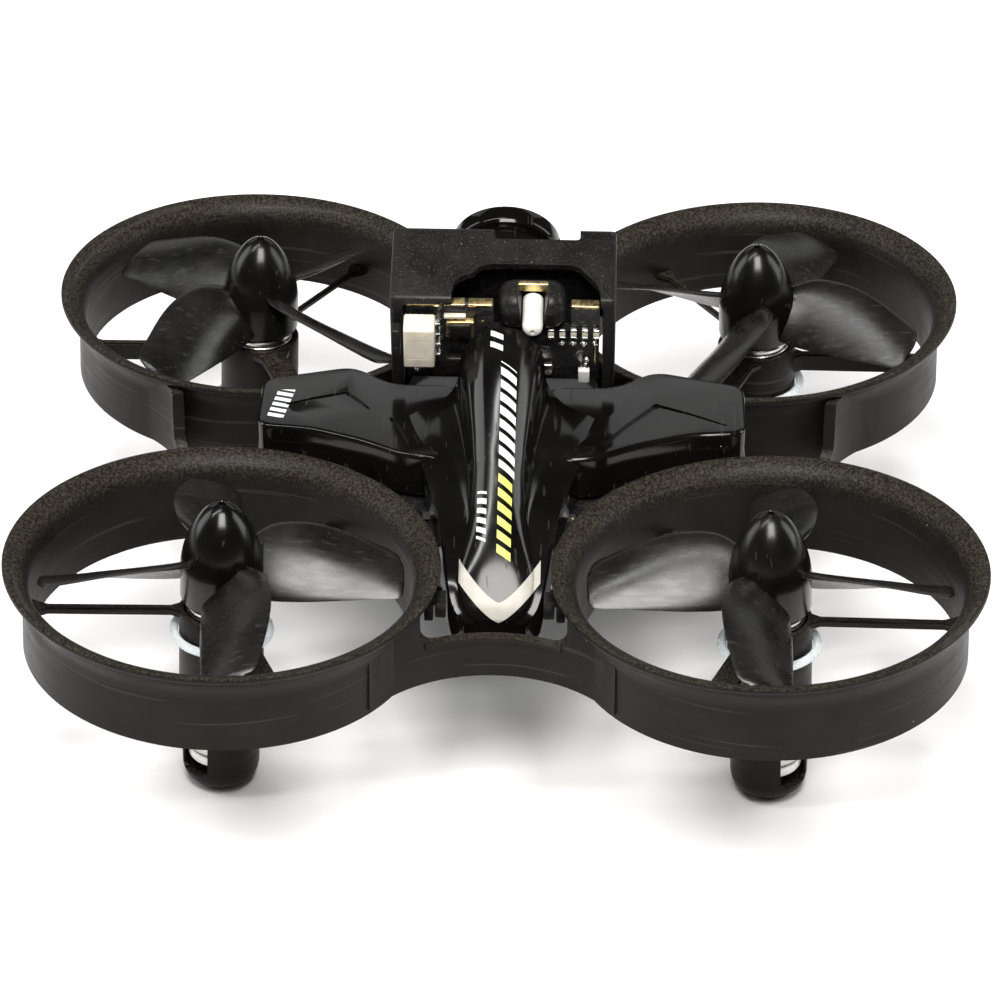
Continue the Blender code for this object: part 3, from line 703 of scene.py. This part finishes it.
def web_piece(turn, notch_half, notch_floor):
    """The curved wall between two ducts, with a notch in its top."""
    center = (0.0, -math.sqrt((WALL_RADIUS + WEB_RADIUS) ** 2 - HALF**2) - HALF)
    outline = arc(center, WEB_RADIUS, 33, 147, 48) + arc(center, WEB_RADIUS + WEB_WALL, 147, 33, 48)
    web = prism(outline, WEB_BOTTOM, WEB_TOP)
    matrix = Matrix.Rotation(math.radians(turn), 4, "Z")
    body = as_object("web_form", web, matrix)
    # A bead stands out all round the notch.
    outline = arc(center, WEB_RADIUS - 0.18, 62, 118, 40) + arc(center, WEB_RADIUS + 0.4, 118, 62, 40)
    bead = as_object("bead_form", prism(outline, notch_floor - 0.45, WEB_TOP - 0.1), matrix)

    reach = (notch_half + 0.45, -20, WEB_TOP + 6)
    rim = box((-notch_half - 0.45, -42, notch_floor - 0.6), reach, 1.3, 6)
    boolean(bead, [as_object("rim_form", rim, matrix)], "INTERSECT")
    boolean(body, [bead], "UNION")

    notch = box((-notch_half, -42, notch_floor), (notch_half, -20, WEB_TOP + 5))
    across = [e for e in notch.edges if abs(e.verts[0].co.y - e.verts[1].co.y) > 1]
    low = [e for e in across if e.verts[0].co.z < notch_floor + 1]
    bmesh.ops.bevel(notch, geom=low, offset=1.3, segments=8, affect="EDGES", profile=0.5)
    cutters = [as_object("notch", notch, matrix)]
    # The web ends inside the duct walls and doesn't come through them.
    bore = [(0, -9.0), (16.05, -9.0), (16.05, -3.8), (16.17, -2.5), (16.35, -1.6), (16.65, -0.95)]
    bore += [(17.05, -0.5), (17.55, -0.2), (18.0, 0.0), (18.0, 1.0), (0, 1.0)]
    boolean(body, cutters + corner_solids("bore", bore), "DIFFERENCE")
    return body


def build_moulding():
    pieces = [duct_piece(name, side, end) for name, side, end, *_ in CORNERS]
    pieces += [web_piece(*web) for web in WEBS]
    frame_piece = pieces.pop(0)
    boolean(frame_piece, pieces, "UNION")
    frame_piece.name = "frame_moulding"
    bevel(frame_piece, 0.12, 2, 50)
    names = ["duct_" + c[0] for c in CORNERS] + ["rear_web", "right_web", "front_web", "left_web"]
    finish_piece(frame_piece, "frame", names, 35)


# Propellers, motors and O-rings


def blade_loft(spin, angle):
    """A blade along +X with a rounded leading edge, a thin trailing edge and a rounded tip."""
    stations = smooth_table(BLADE_STATIONS, BLADE_RINGS)
    outline = []
    for turn in turns(24):
        along = 0.5 + 0.5 * math.cos(turn)
        thick = 0.5 * math.sin(turn) * (0.35 + 0.65 * along**0.45)
        camber = 0.55 * math.sin(math.pi * min(along, 1.0)) ** 0.9
        outline.append((along, thick * 0.8 + camber))
    sections = []
    for radius, front, front_z, back, back_z, thickness in stations:
        chord = math.hypot(front - back, front_z - back_z)
        c, s = (front - back) / chord, (front_z - back_z) / chord
        section = []
        for along, across in outline:
            forward = back + along * chord * c - across * thickness * s
            up = back_z + along * chord * s + across * thickness * c
            section.append((radius, spin * forward, up))
        sections.append(section)
    # The tip: the last section shrinks to a rounded end.
    radius, front, front_z, back, back_z, thickness = stations[-1]
    middle = spin * ((front + back) / 2)
    middle_z = (front_z + back_z) / 2
    end = sections[-1]
    for step in (0.35, 0.65, 0.88):
        shrink = math.sqrt(1 - step**2)
        x = radius + 0.24 * step
        points = [(middle + (y - middle) * shrink, middle_z + (z - middle_z) * shrink) for _, y, z in end]
        sections.append([(x, y, z) for y, z in points])
    bm = loft(sections)
    bmesh.ops.transform(bm, matrix=Matrix.Rotation(angle, 4, "Z"), verts=bm.verts)
    return bm


def build_propeller(name, side, end, spin, rest_angle):
    matrix = corner_matrix(side, end)
    tip = [(0, 4.8), (0.28, 4.8), (0.3, 5.36), (0.36, 5.43)]
    spinner = []
    for i in range(28):
        share = math.sin(math.pi / 2 * (i + 3) / 30)
        spinner.append((HUB_RADIUS * share, -0.6 + 6.05 * (1 - share**1.9) ** 0.62))
    skirt = [(3.5, -3.4), (3.45, -3.62), (3.32, -3.7), (3.0, -3.7), (0.55, -3.7)]
    profile = tip + spinner + skirt + [(0.55, 2.5), (0, 2.5)]
    hub = as_object("propeller_fine_" + name, lathe(profile, 72), matrix)
    blades = []
    for number in range(BLADES):
        angle = math.radians(rest_angle + 90 * number)
        blades.append(as_object("blade_form", blade_loft(spin, angle), matrix))
    boolean(hub, blades, "UNION")
    bevel(hub, 0.1, 2, 55)
    finish_piece(hub, "propeller", ["propeller_" + name], 34, "propeller_" + name)
    # What is outside the hub is a blade.
    hub.data.materials.append(MATERIALS["blade"])
    to_corner = matrix.inverted()
    for polygon in hub.data.polygons:
        place = to_corner @ (polygon.center / MM)
        if math.hypot(place.x, place.y) > HUB_RADIUS + 0.02:
            polygon.material_index = 1


def build_motor(name, side, end, ring_height):
    matrix = corner_matrix(side, end)
    can = [(0, -18.4), (2.8, -18.4), (2.95, -18.3), (3.0, -18.1), (3.0, -17.2), (2.93, -17.1), (2.93, -16.9),
           (3.0, -16.8), (3.0, -4.75), (2.92, -4.68), (2.92, -4.5), (3.0, -4.42), (3.0, -4.2), (2.9, -4.04),
           (2.75, -4.0), (1.2, -4.0), (1.1, -4.12), (0.55, -4.12), (0.55, -5.5), (0, -5.5)]
    turned("motor_can_fine_" + name, can, 64, matrix, "steel", "motor_can_" + name)
    cap = [(0, -19.6), (2.55, -19.6), (2.72, -19.55), (2.8, -19.4), (2.8, -18.95), (2.7, -18.75)]
    cap += [(2.5, -18.7), (0.9, -18.7), (0.8, -18.9), (0, -18.9)]
    turned("motor_end_cap_fine_" + name, cap, 48, matrix, "white", "motor_end_cap_" + name)
    ring = []
    for turn in turns(20):
        wave = 0.37 + 0.012 * math.cos(3 * turn)
        ring.append((4.06 + wave * math.cos(turn), ring_height + wave * math.sin(turn)))
    turned("damper_ring_fine_" + name, ring, 72, matrix, "silicone", "damper_ring_" + name, 60)


# Canopy

REAR_STATIONS = (
    (-2.0, 33.0, 3.7, 8.3, 24.1, 19.9),
    (-6.0, 31.3, 3.2, 7.5, 23.9, 19.9),
    (-11.0, 28.4, 2.6, 6.2, 23.1, 19.9),
    (-14.0, 26.5, 2.4, 5.4, 22.5, 18.9),
    (-18.0, 23.9, 2.7, 4.8, 21.5, 17.9),
    (-22.0, 21.2, 3.2, 4.3, 20.1, 16.6),
    (-24.3, 19.3, 2.8, 3.7, 18.6, 15.9),
    (-25.2, 18.0, 1.6, 2.6, 17.5, 15.9),
)
FRONT_STATIONS = (
    (-3.0, 25.4, 3.4, 8.6, 23.6, 19.9),
    (5.0, 25.2, 3.2, 8.4, 23.4, 19.9),
    (12.0, 24.2, 2.9, 6.4, 22.4, 19.9),
    (18.0, 22.8, 2.6, 4.8, 21.2, 18.0),
    (23.0, 20.8, 2.4, 4.2, 19.4, 16.8),
    (25.2, 18.6, 1.6, 3.0, 17.9, 16.0),
)


def canopy_section(y, ridge_z, ridge_half, flank_half, flank_z, bottom, inset):
    """Round ridge, hollow flank and straight skirt, as a smooth curve."""
    ridge_z -= inset
    ridge_half = max(ridge_half - inset, 0.25)
    flank_half = max(flank_half - inset, 0.4)
    flank_z -= inset
    shoulder_z = max(ridge_z - ridge_half * 1.05, flank_z + 0.15)
    drop = shoulder_z - flank_z
    spread = flank_half - ridge_half
    half = [(flank_half, bottom), (flank_half, flank_z - 0.3)]
    for i in range(1, 13):
        t = i / 12
        half.append((ridge_half + spread * (1 - t) ** 2.2, flank_z + drop * t**1.35))
    for i in range(1, 8):
        turn = math.radians(90 * i / 8)
        z = shoulder_z + (ridge_z - shoulder_z) * math.sin(turn)
        half.append((ridge_half * math.cos(turn), z))
    points = [(x, y, z) for x, z in half]
    points.append((0.0, y, ridge_z))
    return points + [(-x, y, z) for x, z in reversed(half)]


def canopy_loft(table, steps, inset):
    """The canopy's outside with inset 0, or the hollow that leaves a wall of inset."""
    stations = smooth_table(table, steps)
    last = len(stations) - 1
    sections = []
    for number, (y, ridge_z, ridge_half, flank_half, flank_z, bottom) in enumerate(stations):
        if inset:
            y += 0 if number < last else math.copysign(inset, stations[0][0] - y)
            bottom -= 3.0
        sections.append(canopy_section(y, ridge_z, ridge_half, flank_half, flank_z, bottom, inset))
    if inset:
        # The end ring moved inwards, so the rings beyond it are dropped.
        end = sections[-1][0][1]
        kept = [s for s in sections[:-1] if abs(s[0][1] - end) > 0.05 and abs(s[0][1]) < abs(end)]
        sections = kept + sections[-1:]
    return loft(sections)


def rounded(outline, radius, steps=5):
    """The outline with its corners rounded by quadratic curves."""
    out = []
    count = len(outline)
    for i in range(count):
        before, corner, after = (Vector(outline[(i + k) % count]) for k in (-1, 0, 1))
        r1 = min(radius, (before - corner).length * 0.45)
        r2 = min(radius, (after - corner).length * 0.45)
        a = corner + (before - corner).normalized() * r1
        b = corner + (after - corner).normalized() * r2
        for k in range(steps + 1):
            t = k / steps
            out.append(tuple(a * (1 - t) ** 2 + corner * 2 * t * (1 - t) + b * t**2))
    return out


def wing_outline(side, inset=0.0):
    outer = 21.4 - inset
    front = 4.2 - inset
    rear = -4.0 + inset
    points = [(4.0, -9.0), (8.3, -8.6 + inset), (11.9, -6.4 + inset), (16.6, -4.5 + inset), (outer, rear),
              (outer, front), (13.4, 6.6 - inset), (9.8, 3.6 - inset), (4.0, 3.6 - inset)]
    return [(side * x, y) for x, y in rounded(points, 1.5)]


def groove(points, widths):
    """A strip along points whose width changes from point to point."""
    left, right = [], []
    for i, (point, width) in enumerate(zip(points, widths)):
        here = Vector(point)
        before = Vector(points[max(i - 1, 0)])
        after = Vector(points[min(i + 1, len(points) - 1)])
        normal = (after - before).normalized().orthogonal()
        left.append(tuple(here + normal * width / 2))
        right.append(tuple(here - normal * width / 2))
    return left + right[::-1]


def build_canopy():
    canopy = as_object("canopy_shell", canopy_loft(REAR_STATIONS, 56, 0.0))
    solids = [as_object("front_form", canopy_loft(FRONT_STATIONS, 30, 0.0))]
    for side in (-1, 1):
        wing = prism(wing_outline(side), WING_SKIRT, WING_TOP)
        top = [e for e in wing.edges if min(v.co.z for v in e.verts) > WING_TOP - 0.1]
        bmesh.ops.bevel(wing, geom=top, offset=0.45, segments=4, affect="EDGES", profile=0.5)
        solids.append(as_object("wing_form", wing))
    boolean(canopy, solids, "UNION")
    cutters = [as_object("rear_hollow", canopy_loft(REAR_STATIONS, 56, SHELL)),
               as_object("front_hollow", canopy_loft(FRONT_STATIONS, 30, SHELL))]
    for side in (-1, 1):
        hollow = prism(wing_outline(side, SHELL), WING_SKIRT - 3, WING_TOP - SHELL)
        cutters.append(as_object("wing_hollow", hollow))
    room = box((-10.1, -0.3, 1.0), (10.1, 9.0, 16.0))
    cutters.append(as_object("module_room", room, MODULE))
    lines = (
        ([(-19.0, -0.4), (-16.6, 0.7), (-13.9, 1.7), (-12.7, 0.4), (-11.7, -1.0)],
         (0.25, 0.4, 0.55, 0.45, 0.2)),
        ([(-9.7, -2.4), (-8.9, -4.6), (-8.1, -6.9)], (0.35, 0.6, 0.35)),
        ([(19.6, -2.8), (16.6, -1.0), (13.6, 0.4), (11.2, -3.0), (9.0, -6.6)],
         (0.15, 0.35, 0.75, 0.75, 0.7)),
    )
    for points, widths in lines:
        cutters.append(as_object("groove_form", prism(groove(points, widths), 23.62, 25.0)))
    boolean(canopy, cutters, "DIFFERENCE")
    room = [(0, -12.0), (17.05, -12.0), (17.05, -3.2), (17.8, -1.25), (18.7, -0.5), (18.7, 0.3), (0, 0.3)]
    for duct_room in corner_solids("duct_room", room):
        boolean(canopy, [duct_room], "DIFFERENCE")
    canopy.name = "canopy_shell"
    bevel(canopy, 0.12, 2, 45)
    finish_piece(canopy, "canopy", ["canopy"], 30)
    for side in (-1, 1):
        tab = box((4.1, -26.0, 18.55), (5.0, -23.9, 20.1), 0.15)
        post = box((5.15, -26.3, 18.45), (5.9, -24.4, 19.75), 0.12)
        flip = Matrix.Scale(side, 4, (1, 0, 0))
        for label, bm, material in (("nose_tab", tab, "satin"), ("nose_post", post, "frame")):
            piece = as_object(f"{label}_{'left' if side < 0 else 'right'}", bm, flip)
            finish_piece(piece, material)


# Camera module


def upright(depth=0.0):
    """Turns a lathe so that its axis is the lens's."""
    return MODULE @ Matrix.Translation((0, depth, LENS_HEIGHT)) @ Matrix.Rotation(-math.pi / 2, 4, "X")


def build_camera():
    housing = as_object("camera_bracket", box((-9.8, 0, 1.3), (9.8, 8.6, 12.8), 0.45, 4), MODULE)
    notch = [(-4.5, -2), (-4.45, 1.3), (-4.1, 2.4), (-3.2, 3.0), (-2.6, 3.2), (-2.2, 3.9), (-1.2, 4.3)]
    notch += [(5.8, 4.3), (6.6, 4.0), (7.3, 3.1), (8.3, 1.8), (8.5, 0.4), (8.5, -2)]
    cutters = [
        as_object("inside", box((-8.7, -3, -1.7), (8.7, 7.7, 12.1), 0.5, 3), MODULE),
        as_object("rear_notch", prism(rounded(notch, 0.5, 3), 10.8, 14.8), MODULE),
        as_object("front_step", box((-0.9, 7.25, 10.8), (6.6, 10.6, 14.8), 0.3, 3), MODULE),
        as_object("below", box((-11.8, 3.6, -1.7), (11.8, 11.6, 2.5)), MODULE),
        as_object("lens_hole", lathe([(0, -2), (4.2, -2), (4.2, 4), (0, 4)], 72), upright(7.6)),
    ]
    boolean(housing, cutters, "DIFFERENCE")
    # A thin bead runs round the roof's rear cut-out.
    path = [(-4.95, 0.4), (-4.9, 1.3), (-4.55, 2.7), (-3.5, 3.4), (-2.9, 3.7), (-2.5, 4.4), (-1.4, 4.78)]
    path += [(6.0, 4.78), (6.95, 4.4), (7.7, 3.4), (8.75, 2.0), (8.95, 0.4)]
    bead = groove(path, [0.17] * len(path))
    boolean(housing, [as_object("bead_form", prism(bead, 12.4, 12.88), MODULE)], "UNION")
    bevel(housing, 0.1, 2, 50)
    finish_piece(housing, "satin", ["camera_housing"], 32)

    barrel = [(0, 6.6), (3.9, 6.6), (3.9, 9.0), (4.1, 9.15), (4.12, 10.3), (4.05, 10.4), (4.3, 10.6)]
    barrel += [(4.7, 10.75), (4.86, 10.95), (4.9, 11.15), (4.9, 12.35), (4.86, 12.5), (4.76, 12.6)]
    barrel += [(4.1, 12.6), (3.9, 12.5), (3.78, 12.2), (3.72, 12.2), (3.6, 11.95), (3.5, 11.7), (0, 11.7)]
    turned("lens_ring", barrel, 112, upright(), "gloss", "lens_barrel")
    dome = [(0, 11.9), (3.0, 11.9), (3.3, 12.0), (3.25, 12.06)]
    dome += [(3.2 * math.cos(t), 12.0 + 0.6 * math.sin(t)) for t in (0.15, 0.35, 0.6, 0.85, 1.1, 1.35)]
    turned("lens_front_glass", dome + [(0, 12.6)], 72, upright(), "glass", "lens_glass", 40)

    shroud = as_object("antenna_shroud_fine", box((-0.4, -0.4, 9.0), (5.5, 3.4, 12.6), 1.35, 6), MODULE)
    outline = [(1.2, 13.0), (4.0, 13.0), (3.8, 12.0), (3.62, 11.3)]
    outline += [(3.6, 9.4), (1.6, 9.4), (1.58, 11.3), (1.4, 12.0)]
    lying = Matrix.Rotation(math.pi / 2, 4, "X")
    boolean(shroud, [as_object("opening", prism(outline, -2.6, 2.0), MODULE @ lying)], "DIFFERENCE")
    bevel(shroud, 0.12, 2, 45)
    finish_piece(shroud, "satin", ["antenna_shroud"], 32)
    tube = [(0, -2.4), (0.78, -2.4), (0.9, -2.28), (0.9, 0.7), (0.87, 0.95), (0.76, 1.22), (0.55, 1.41),
            (0.34, 1.49), (0.24, 1.5), (0.22, 1.1), (0, 1.1)]
    place = MODULE @ Matrix.Translation((2.6, 0, 10.4)) @ lying
    turned("antenna_tube_fine", tube, 48, place, "white", "antenna_tube", 40)


# The step between the parts in a row on the video board.
PART_PITCH = 0.98
# Small parts on that board: name, low corner, high corner, edge and material.
BOARD_PARTS = (
    ("gold_edge_1", (-8.35, 0.36, 11.45), (-5.35, 1.22, 11.74), 0.06, "gold"),
    ("gold_edge_2", (-5.1, 0.36, 11.55), (-3.3, 1.22, 11.74), 0.06, "gold"),
    ("gold_edge_3", (-3.0, 0.36, 11.45), (-0.9, 1.22, 11.74), 0.06, "gold"),
    ("gold_edge_4", (5.95, 0.36, 11.4), (8.35, 1.22, 11.74), 0.06, "gold"),
    ("shroud_gold_pad", (1.25, 2.25, 11.5), (3.95, 2.75, 12.42), 0.08, "gold"),
    ("gold_rim", (-4.9, -0.3, 8.2), (-2.5, 0.32, 10.2), 0.05, "gold"),
    ("gold_rim_core", (-4.65, -0.55, 8.4), (-2.75, 0.3, 10.0), 0.1, "satin"),
    ("light_part", (-5.1, -0.15, 10.45), (-3.2, 0.32, 10.75), 0.05, "cream"),
    ("gold_line", (8.0, 0.1, 4.4), (8.15, 0.38, 9.0), 0.03, "gold"),
    ("chip_rear", (-1.6, -0.35, 3.4), (1.5, 0.33, 6.4), 0.1, "satin"),
    ("crystal", (2.4, -0.25, 3.3), (4.4, 0.33, 4.7), 0.15, "steel"),
    ("inductor", (-5.0, -0.6, 3.6), (-2.9, 0.33, 5.7), 0.25, "satin"),
)


def small_part(name, bm, material):
    piece = as_object(name, bm, MODULE)
    finish_piece(piece, material, (), 40)


def blob(center, radius, height, seed):
    """A solder joint: a low dome with an uneven outline."""
    chance = random.Random(seed)
    rings = []
    for level in range(5):
        rise = math.pi / 2 * level / 4
        ring = []
        for angle in turns(14):
            r = radius * math.cos(rise) * (1 + 0.1 * math.sin(2 * angle + seed) + 0.03 * chance.random())
            r = max(r, 0.02)
            ring.append((center[0] + r * math.cos(angle), center[1] - height * math.sin(rise),
                         center[2] + r * math.sin(angle)))
        rings.append(ring)
    return loft(rings)


def build_module_details():
    board = as_object("vtx_board_fine", box((-8.4, 0.4, 2.2), (8.4, 1.2, 11.7), 0.06, 2), MODULE)
    boolean(board, [as_object("notch", box((-0.8, -1, 8.6), (5.9, 3, 14)), MODULE)], "DIFFERENCE")
    finish_piece(board, "board", ["vtx_board"], 30)
    for name, low, high, edge, material in BOARD_PARTS:
        small_part(name, box(low, high, edge, 3), material)
    for i in range(5):
        x, z = 4.2 + PART_PITCH * i, 8.6
        body = box((x - 0.26, -0.1, z - 0.35), (x + 0.26, 0.34, z + 0.35), 0.05)
        small_part(f"chip_part_{i}", body, "cream")
        for end, label in ((-1, "low"), (1, "high")):
            low = (x - 0.28, -0.13, z + end * 0.45 - 0.13)
            high = (x + 0.28, 0.34, z + end * 0.45 + 0.13)
            small_part(f"chip_end_{i}_{label}", box(low, high, 0.06, 3), "solder")
    for i in range(4):
        small_part(f"solder_b{i}", blob((5.1 + PART_PITCH * i, 0.32, 7.1), 0.32, 0.34, i), "solder")
    joints = ((-7.6, 5.4), (-7.4, 4.7), (-7.7, 4.1), (-7.5, 3.5), (7.3, 4.9), (0.2, 7.3), (1.6, 7.4))
    for i, (x, z) in enumerate(joints):
        small_part(f"solder_c{i}", blob((x, 0.32, z), 0.36, 0.4, 20 + i), "solder")
    for i in range(6):
        x = -1.3 + 0.52 * i
        small_part(f"chip_leg_{i}", box((x - 0.12, -0.02, 3.1), (x + 0.12, 0.36, 3.42), 0.03), "solder")
        small_part(f"chip_leg_top_{i}", box((x - 0.12, -0.02, 6.38), (x + 0.12, 0.36, 6.7), 0.03), "solder")

    switch = as_object("channel_switch_fine", box((-8.55, -2.4, 6.5), (-5.85, -0.3, 11.3), 0.22, 4), MODULE)
    slots = [as_object("slot", box((-8.25, -2.7, z), (-6.15, -2.32, z + 0.14)), MODULE) for z in (7.6, 9.9)]
    slots.append(as_object("slot", box((-8.8, -2.0, 6.9), (-8.43, -0.7, 10.9)), MODULE))
    boolean(switch, slots, "DIFFERENCE")
    finish_piece(switch, "cream", ["channel_switch"], 32)
    for i, z in enumerate((6.9, 8.2, 9.5, 10.8)):
        small_part(f"switch_leg_{i}", box((-5.9, -1.2, z - 0.15), (-5.4, 0.36, z + 0.15), 0.05), "solder")
    button = as_object("channel_button_fine", box((-9.6, -1.8, 7.3), (-8.85, -0.6, 10.5), 0.18, 4), MODULE)
    grooves = []
    for i in range(4):
        z = 7.9 + 0.62 * i
        grooves.append(as_object("groove_form", box((-9.8, -1.6, z), (-9.54, -0.8, z + 0.2)), MODULE))
    boolean(button, grooves, "DIFFERENCE")
    finish_piece(button, "satin", ["channel_button"], 32, "channel_button")
    led = as_object("status_led_fine", box((6.6, -0.5, 2.7), (7.6, 0.1, 4.3), 0.14, 4), MODULE)
    finish_piece(led, "white", ["status_led"], 35)
    for end, z in (("low", 2.62), ("high", 4.2)):
        small_part("led_solder_" + end, box((6.7, -0.25, z), (7.5, 0.36, z + 0.2), 0.06), "solder")


# CAD pieces that keep their own mesh

# Each one's look and edge radius. A corner's name may follow in the node's name.
CAD_LOOKS = {
    "board_grommet": ("rubber", 0.1),
    "board_screw": ("steel", 0.08),
    "motor_socket": ("cream", 0.12),
    "motor_shaft": ("steel", 0.05),
    "centre_frame": ("frame", 0.2),
    "camera_board": ("board", 0.06),
    "flight_controller": ("board", 0.06),
    "main_chip": ("satin", 0.1),
    "battery_socket": ("white", 0.15),
    "battery": ("foil", 0.4),
}


def dress_cad_nodes():
    """Rounds the edges of the CAD pieces that are shown as they are and gives them their materials."""
    for name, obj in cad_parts.items():
        for corner, *_ in CORNERS:
            name = name.removesuffix("_" + corner)
        if name not in CAD_LOOKS:
            continue
        look, width = CAD_LOOKS[name]
        obj.data.materials.clear()
        obj.data.materials.append(MATERIALS[look])
        bevel(obj, width, 3, 35)
        obj.data.set_sharp_from_angle(angle=math.radians(40))


# Stage, lights and camera


def emission_panel(name, center, size, target, power, color=(1.0, 1.0, 1.0)):
    data = bpy.data.lights.new(name, "AREA")
    data.shape = "RECTANGLE"
    data.size, data.size_y = (s * MM for s in size)
    data.energy = power
    data.color = color
    light = new_object(name, data)
    place = Vector(center) * MM
    aim = Vector(target) * MM - place
    light.location = place
    light.rotation_euler = aim.to_track_quat("-Z", "Y").to_euler()
    light.visible_camera = False


def build_floor():
    bm = bmesh.new()
    steps = 24
    for i in range(steps + 1):
        for j in range(steps + 1):
            bm.verts.new((-1600 + 3200 * i / steps, -1200 + 3200 * j / steps, 0.0))
    bm.verts.ensure_lookup_table()
    for i in range(steps):
        for j in range(steps):
            k = i * (steps + 1) + j
            bm.faces.new([bm.verts[k], bm.verts[k + steps + 1], bm.verts[k + steps + 2], bm.verts[k + 1]])
    floor = as_object("studio_floor", bm)
    n = Nodes("paper_white", (0.92, 0.92, 0.92), 0.85)
    fibre = n.noise(160, 3.0, 0.6)
    n.link(n.mix(fibre, (0.9, 0.9, 0.9), (0.93, 0.93, 0.93)), "Base Color")
    n.bump(fibre, 0.05, 0.05)
    floor.data.materials.append(n.material)
    floor.location.z = -0.02 * MM


def build_lights():
    scene = bpy.context.scene
    world = bpy.data.worlds.new("studio")
    world.use_nodes = True
    background = world.node_tree.nodes["Background"]
    background.inputs["Color"].default_value = (1.0, 1.0, 1.0, 1.0)
    background.inputs["Strength"].default_value = WORLD
    scene.world = world
    scene.view_settings.view_transform = "Standard"
    scene.view_settings.look = "None"
    scene.view_settings.exposure = 0.0

    emission_panel("key", (20, -330, 560), (300, 380), (0, 0, 15), KEY, (1.0, 0.965, 0.93))
    emission_panel("back_panel", (0, 800, 520), (1500, 420), (0, 0, 40), BACK)
    emission_panel("left_box", (-640, 120, 300), (320, 460), (0, 0, 15), SIDE)
    emission_panel("right_box", (640, 120, 300), (320, 460), (0, 0, 15), SIDE)
    emission_panel("ridge_strip", (-360, -90, 930), (60, 700), (0, 0, 25), STRIP)


def place_camera():
    yaw, elevation, roll = (math.radians(angle) for angle in CAMERA_ANGLES)
    turn = Matrix.Rotation(yaw, 3, "Z")
    right = Vector((1, 0, 0))
    forward = Vector((0, math.cos(elevation), -math.sin(elevation)))
    up = Vector((0, math.sin(elevation), math.cos(elevation)))
    across = turn @ (right * math.cos(roll) + up * math.sin(roll))
    upward = turn @ (-right * math.sin(roll) + up * math.cos(roll))
    matrix = Matrix((across, upward, -(turn @ forward))).transposed().to_4x4()
    matrix.translation = Vector(CAMERA_PLACE) * MM
    data = bpy.data.cameras.new("camera")
    data.sensor_width = SENSOR_WIDTH
    data.lens = FOCAL_LENGTH
    data.clip_start = 0.01
    camera = new_object("camera", data)
    camera.matrix_world = matrix
    bpy.context.scene.camera = camera


def main():
    random.seed(SEED)
    build_moulding()
    for name, side, end, spin, rest_angle, ring_height in CORNERS:
        build_propeller(name, side, end, spin, rest_angle)
        build_motor(name, side, end, ring_height)
    build_canopy()
    build_camera()
    build_module_details()
    dress_cad_nodes()
    build_floor()
    build_lights()
    place_camera()


main()
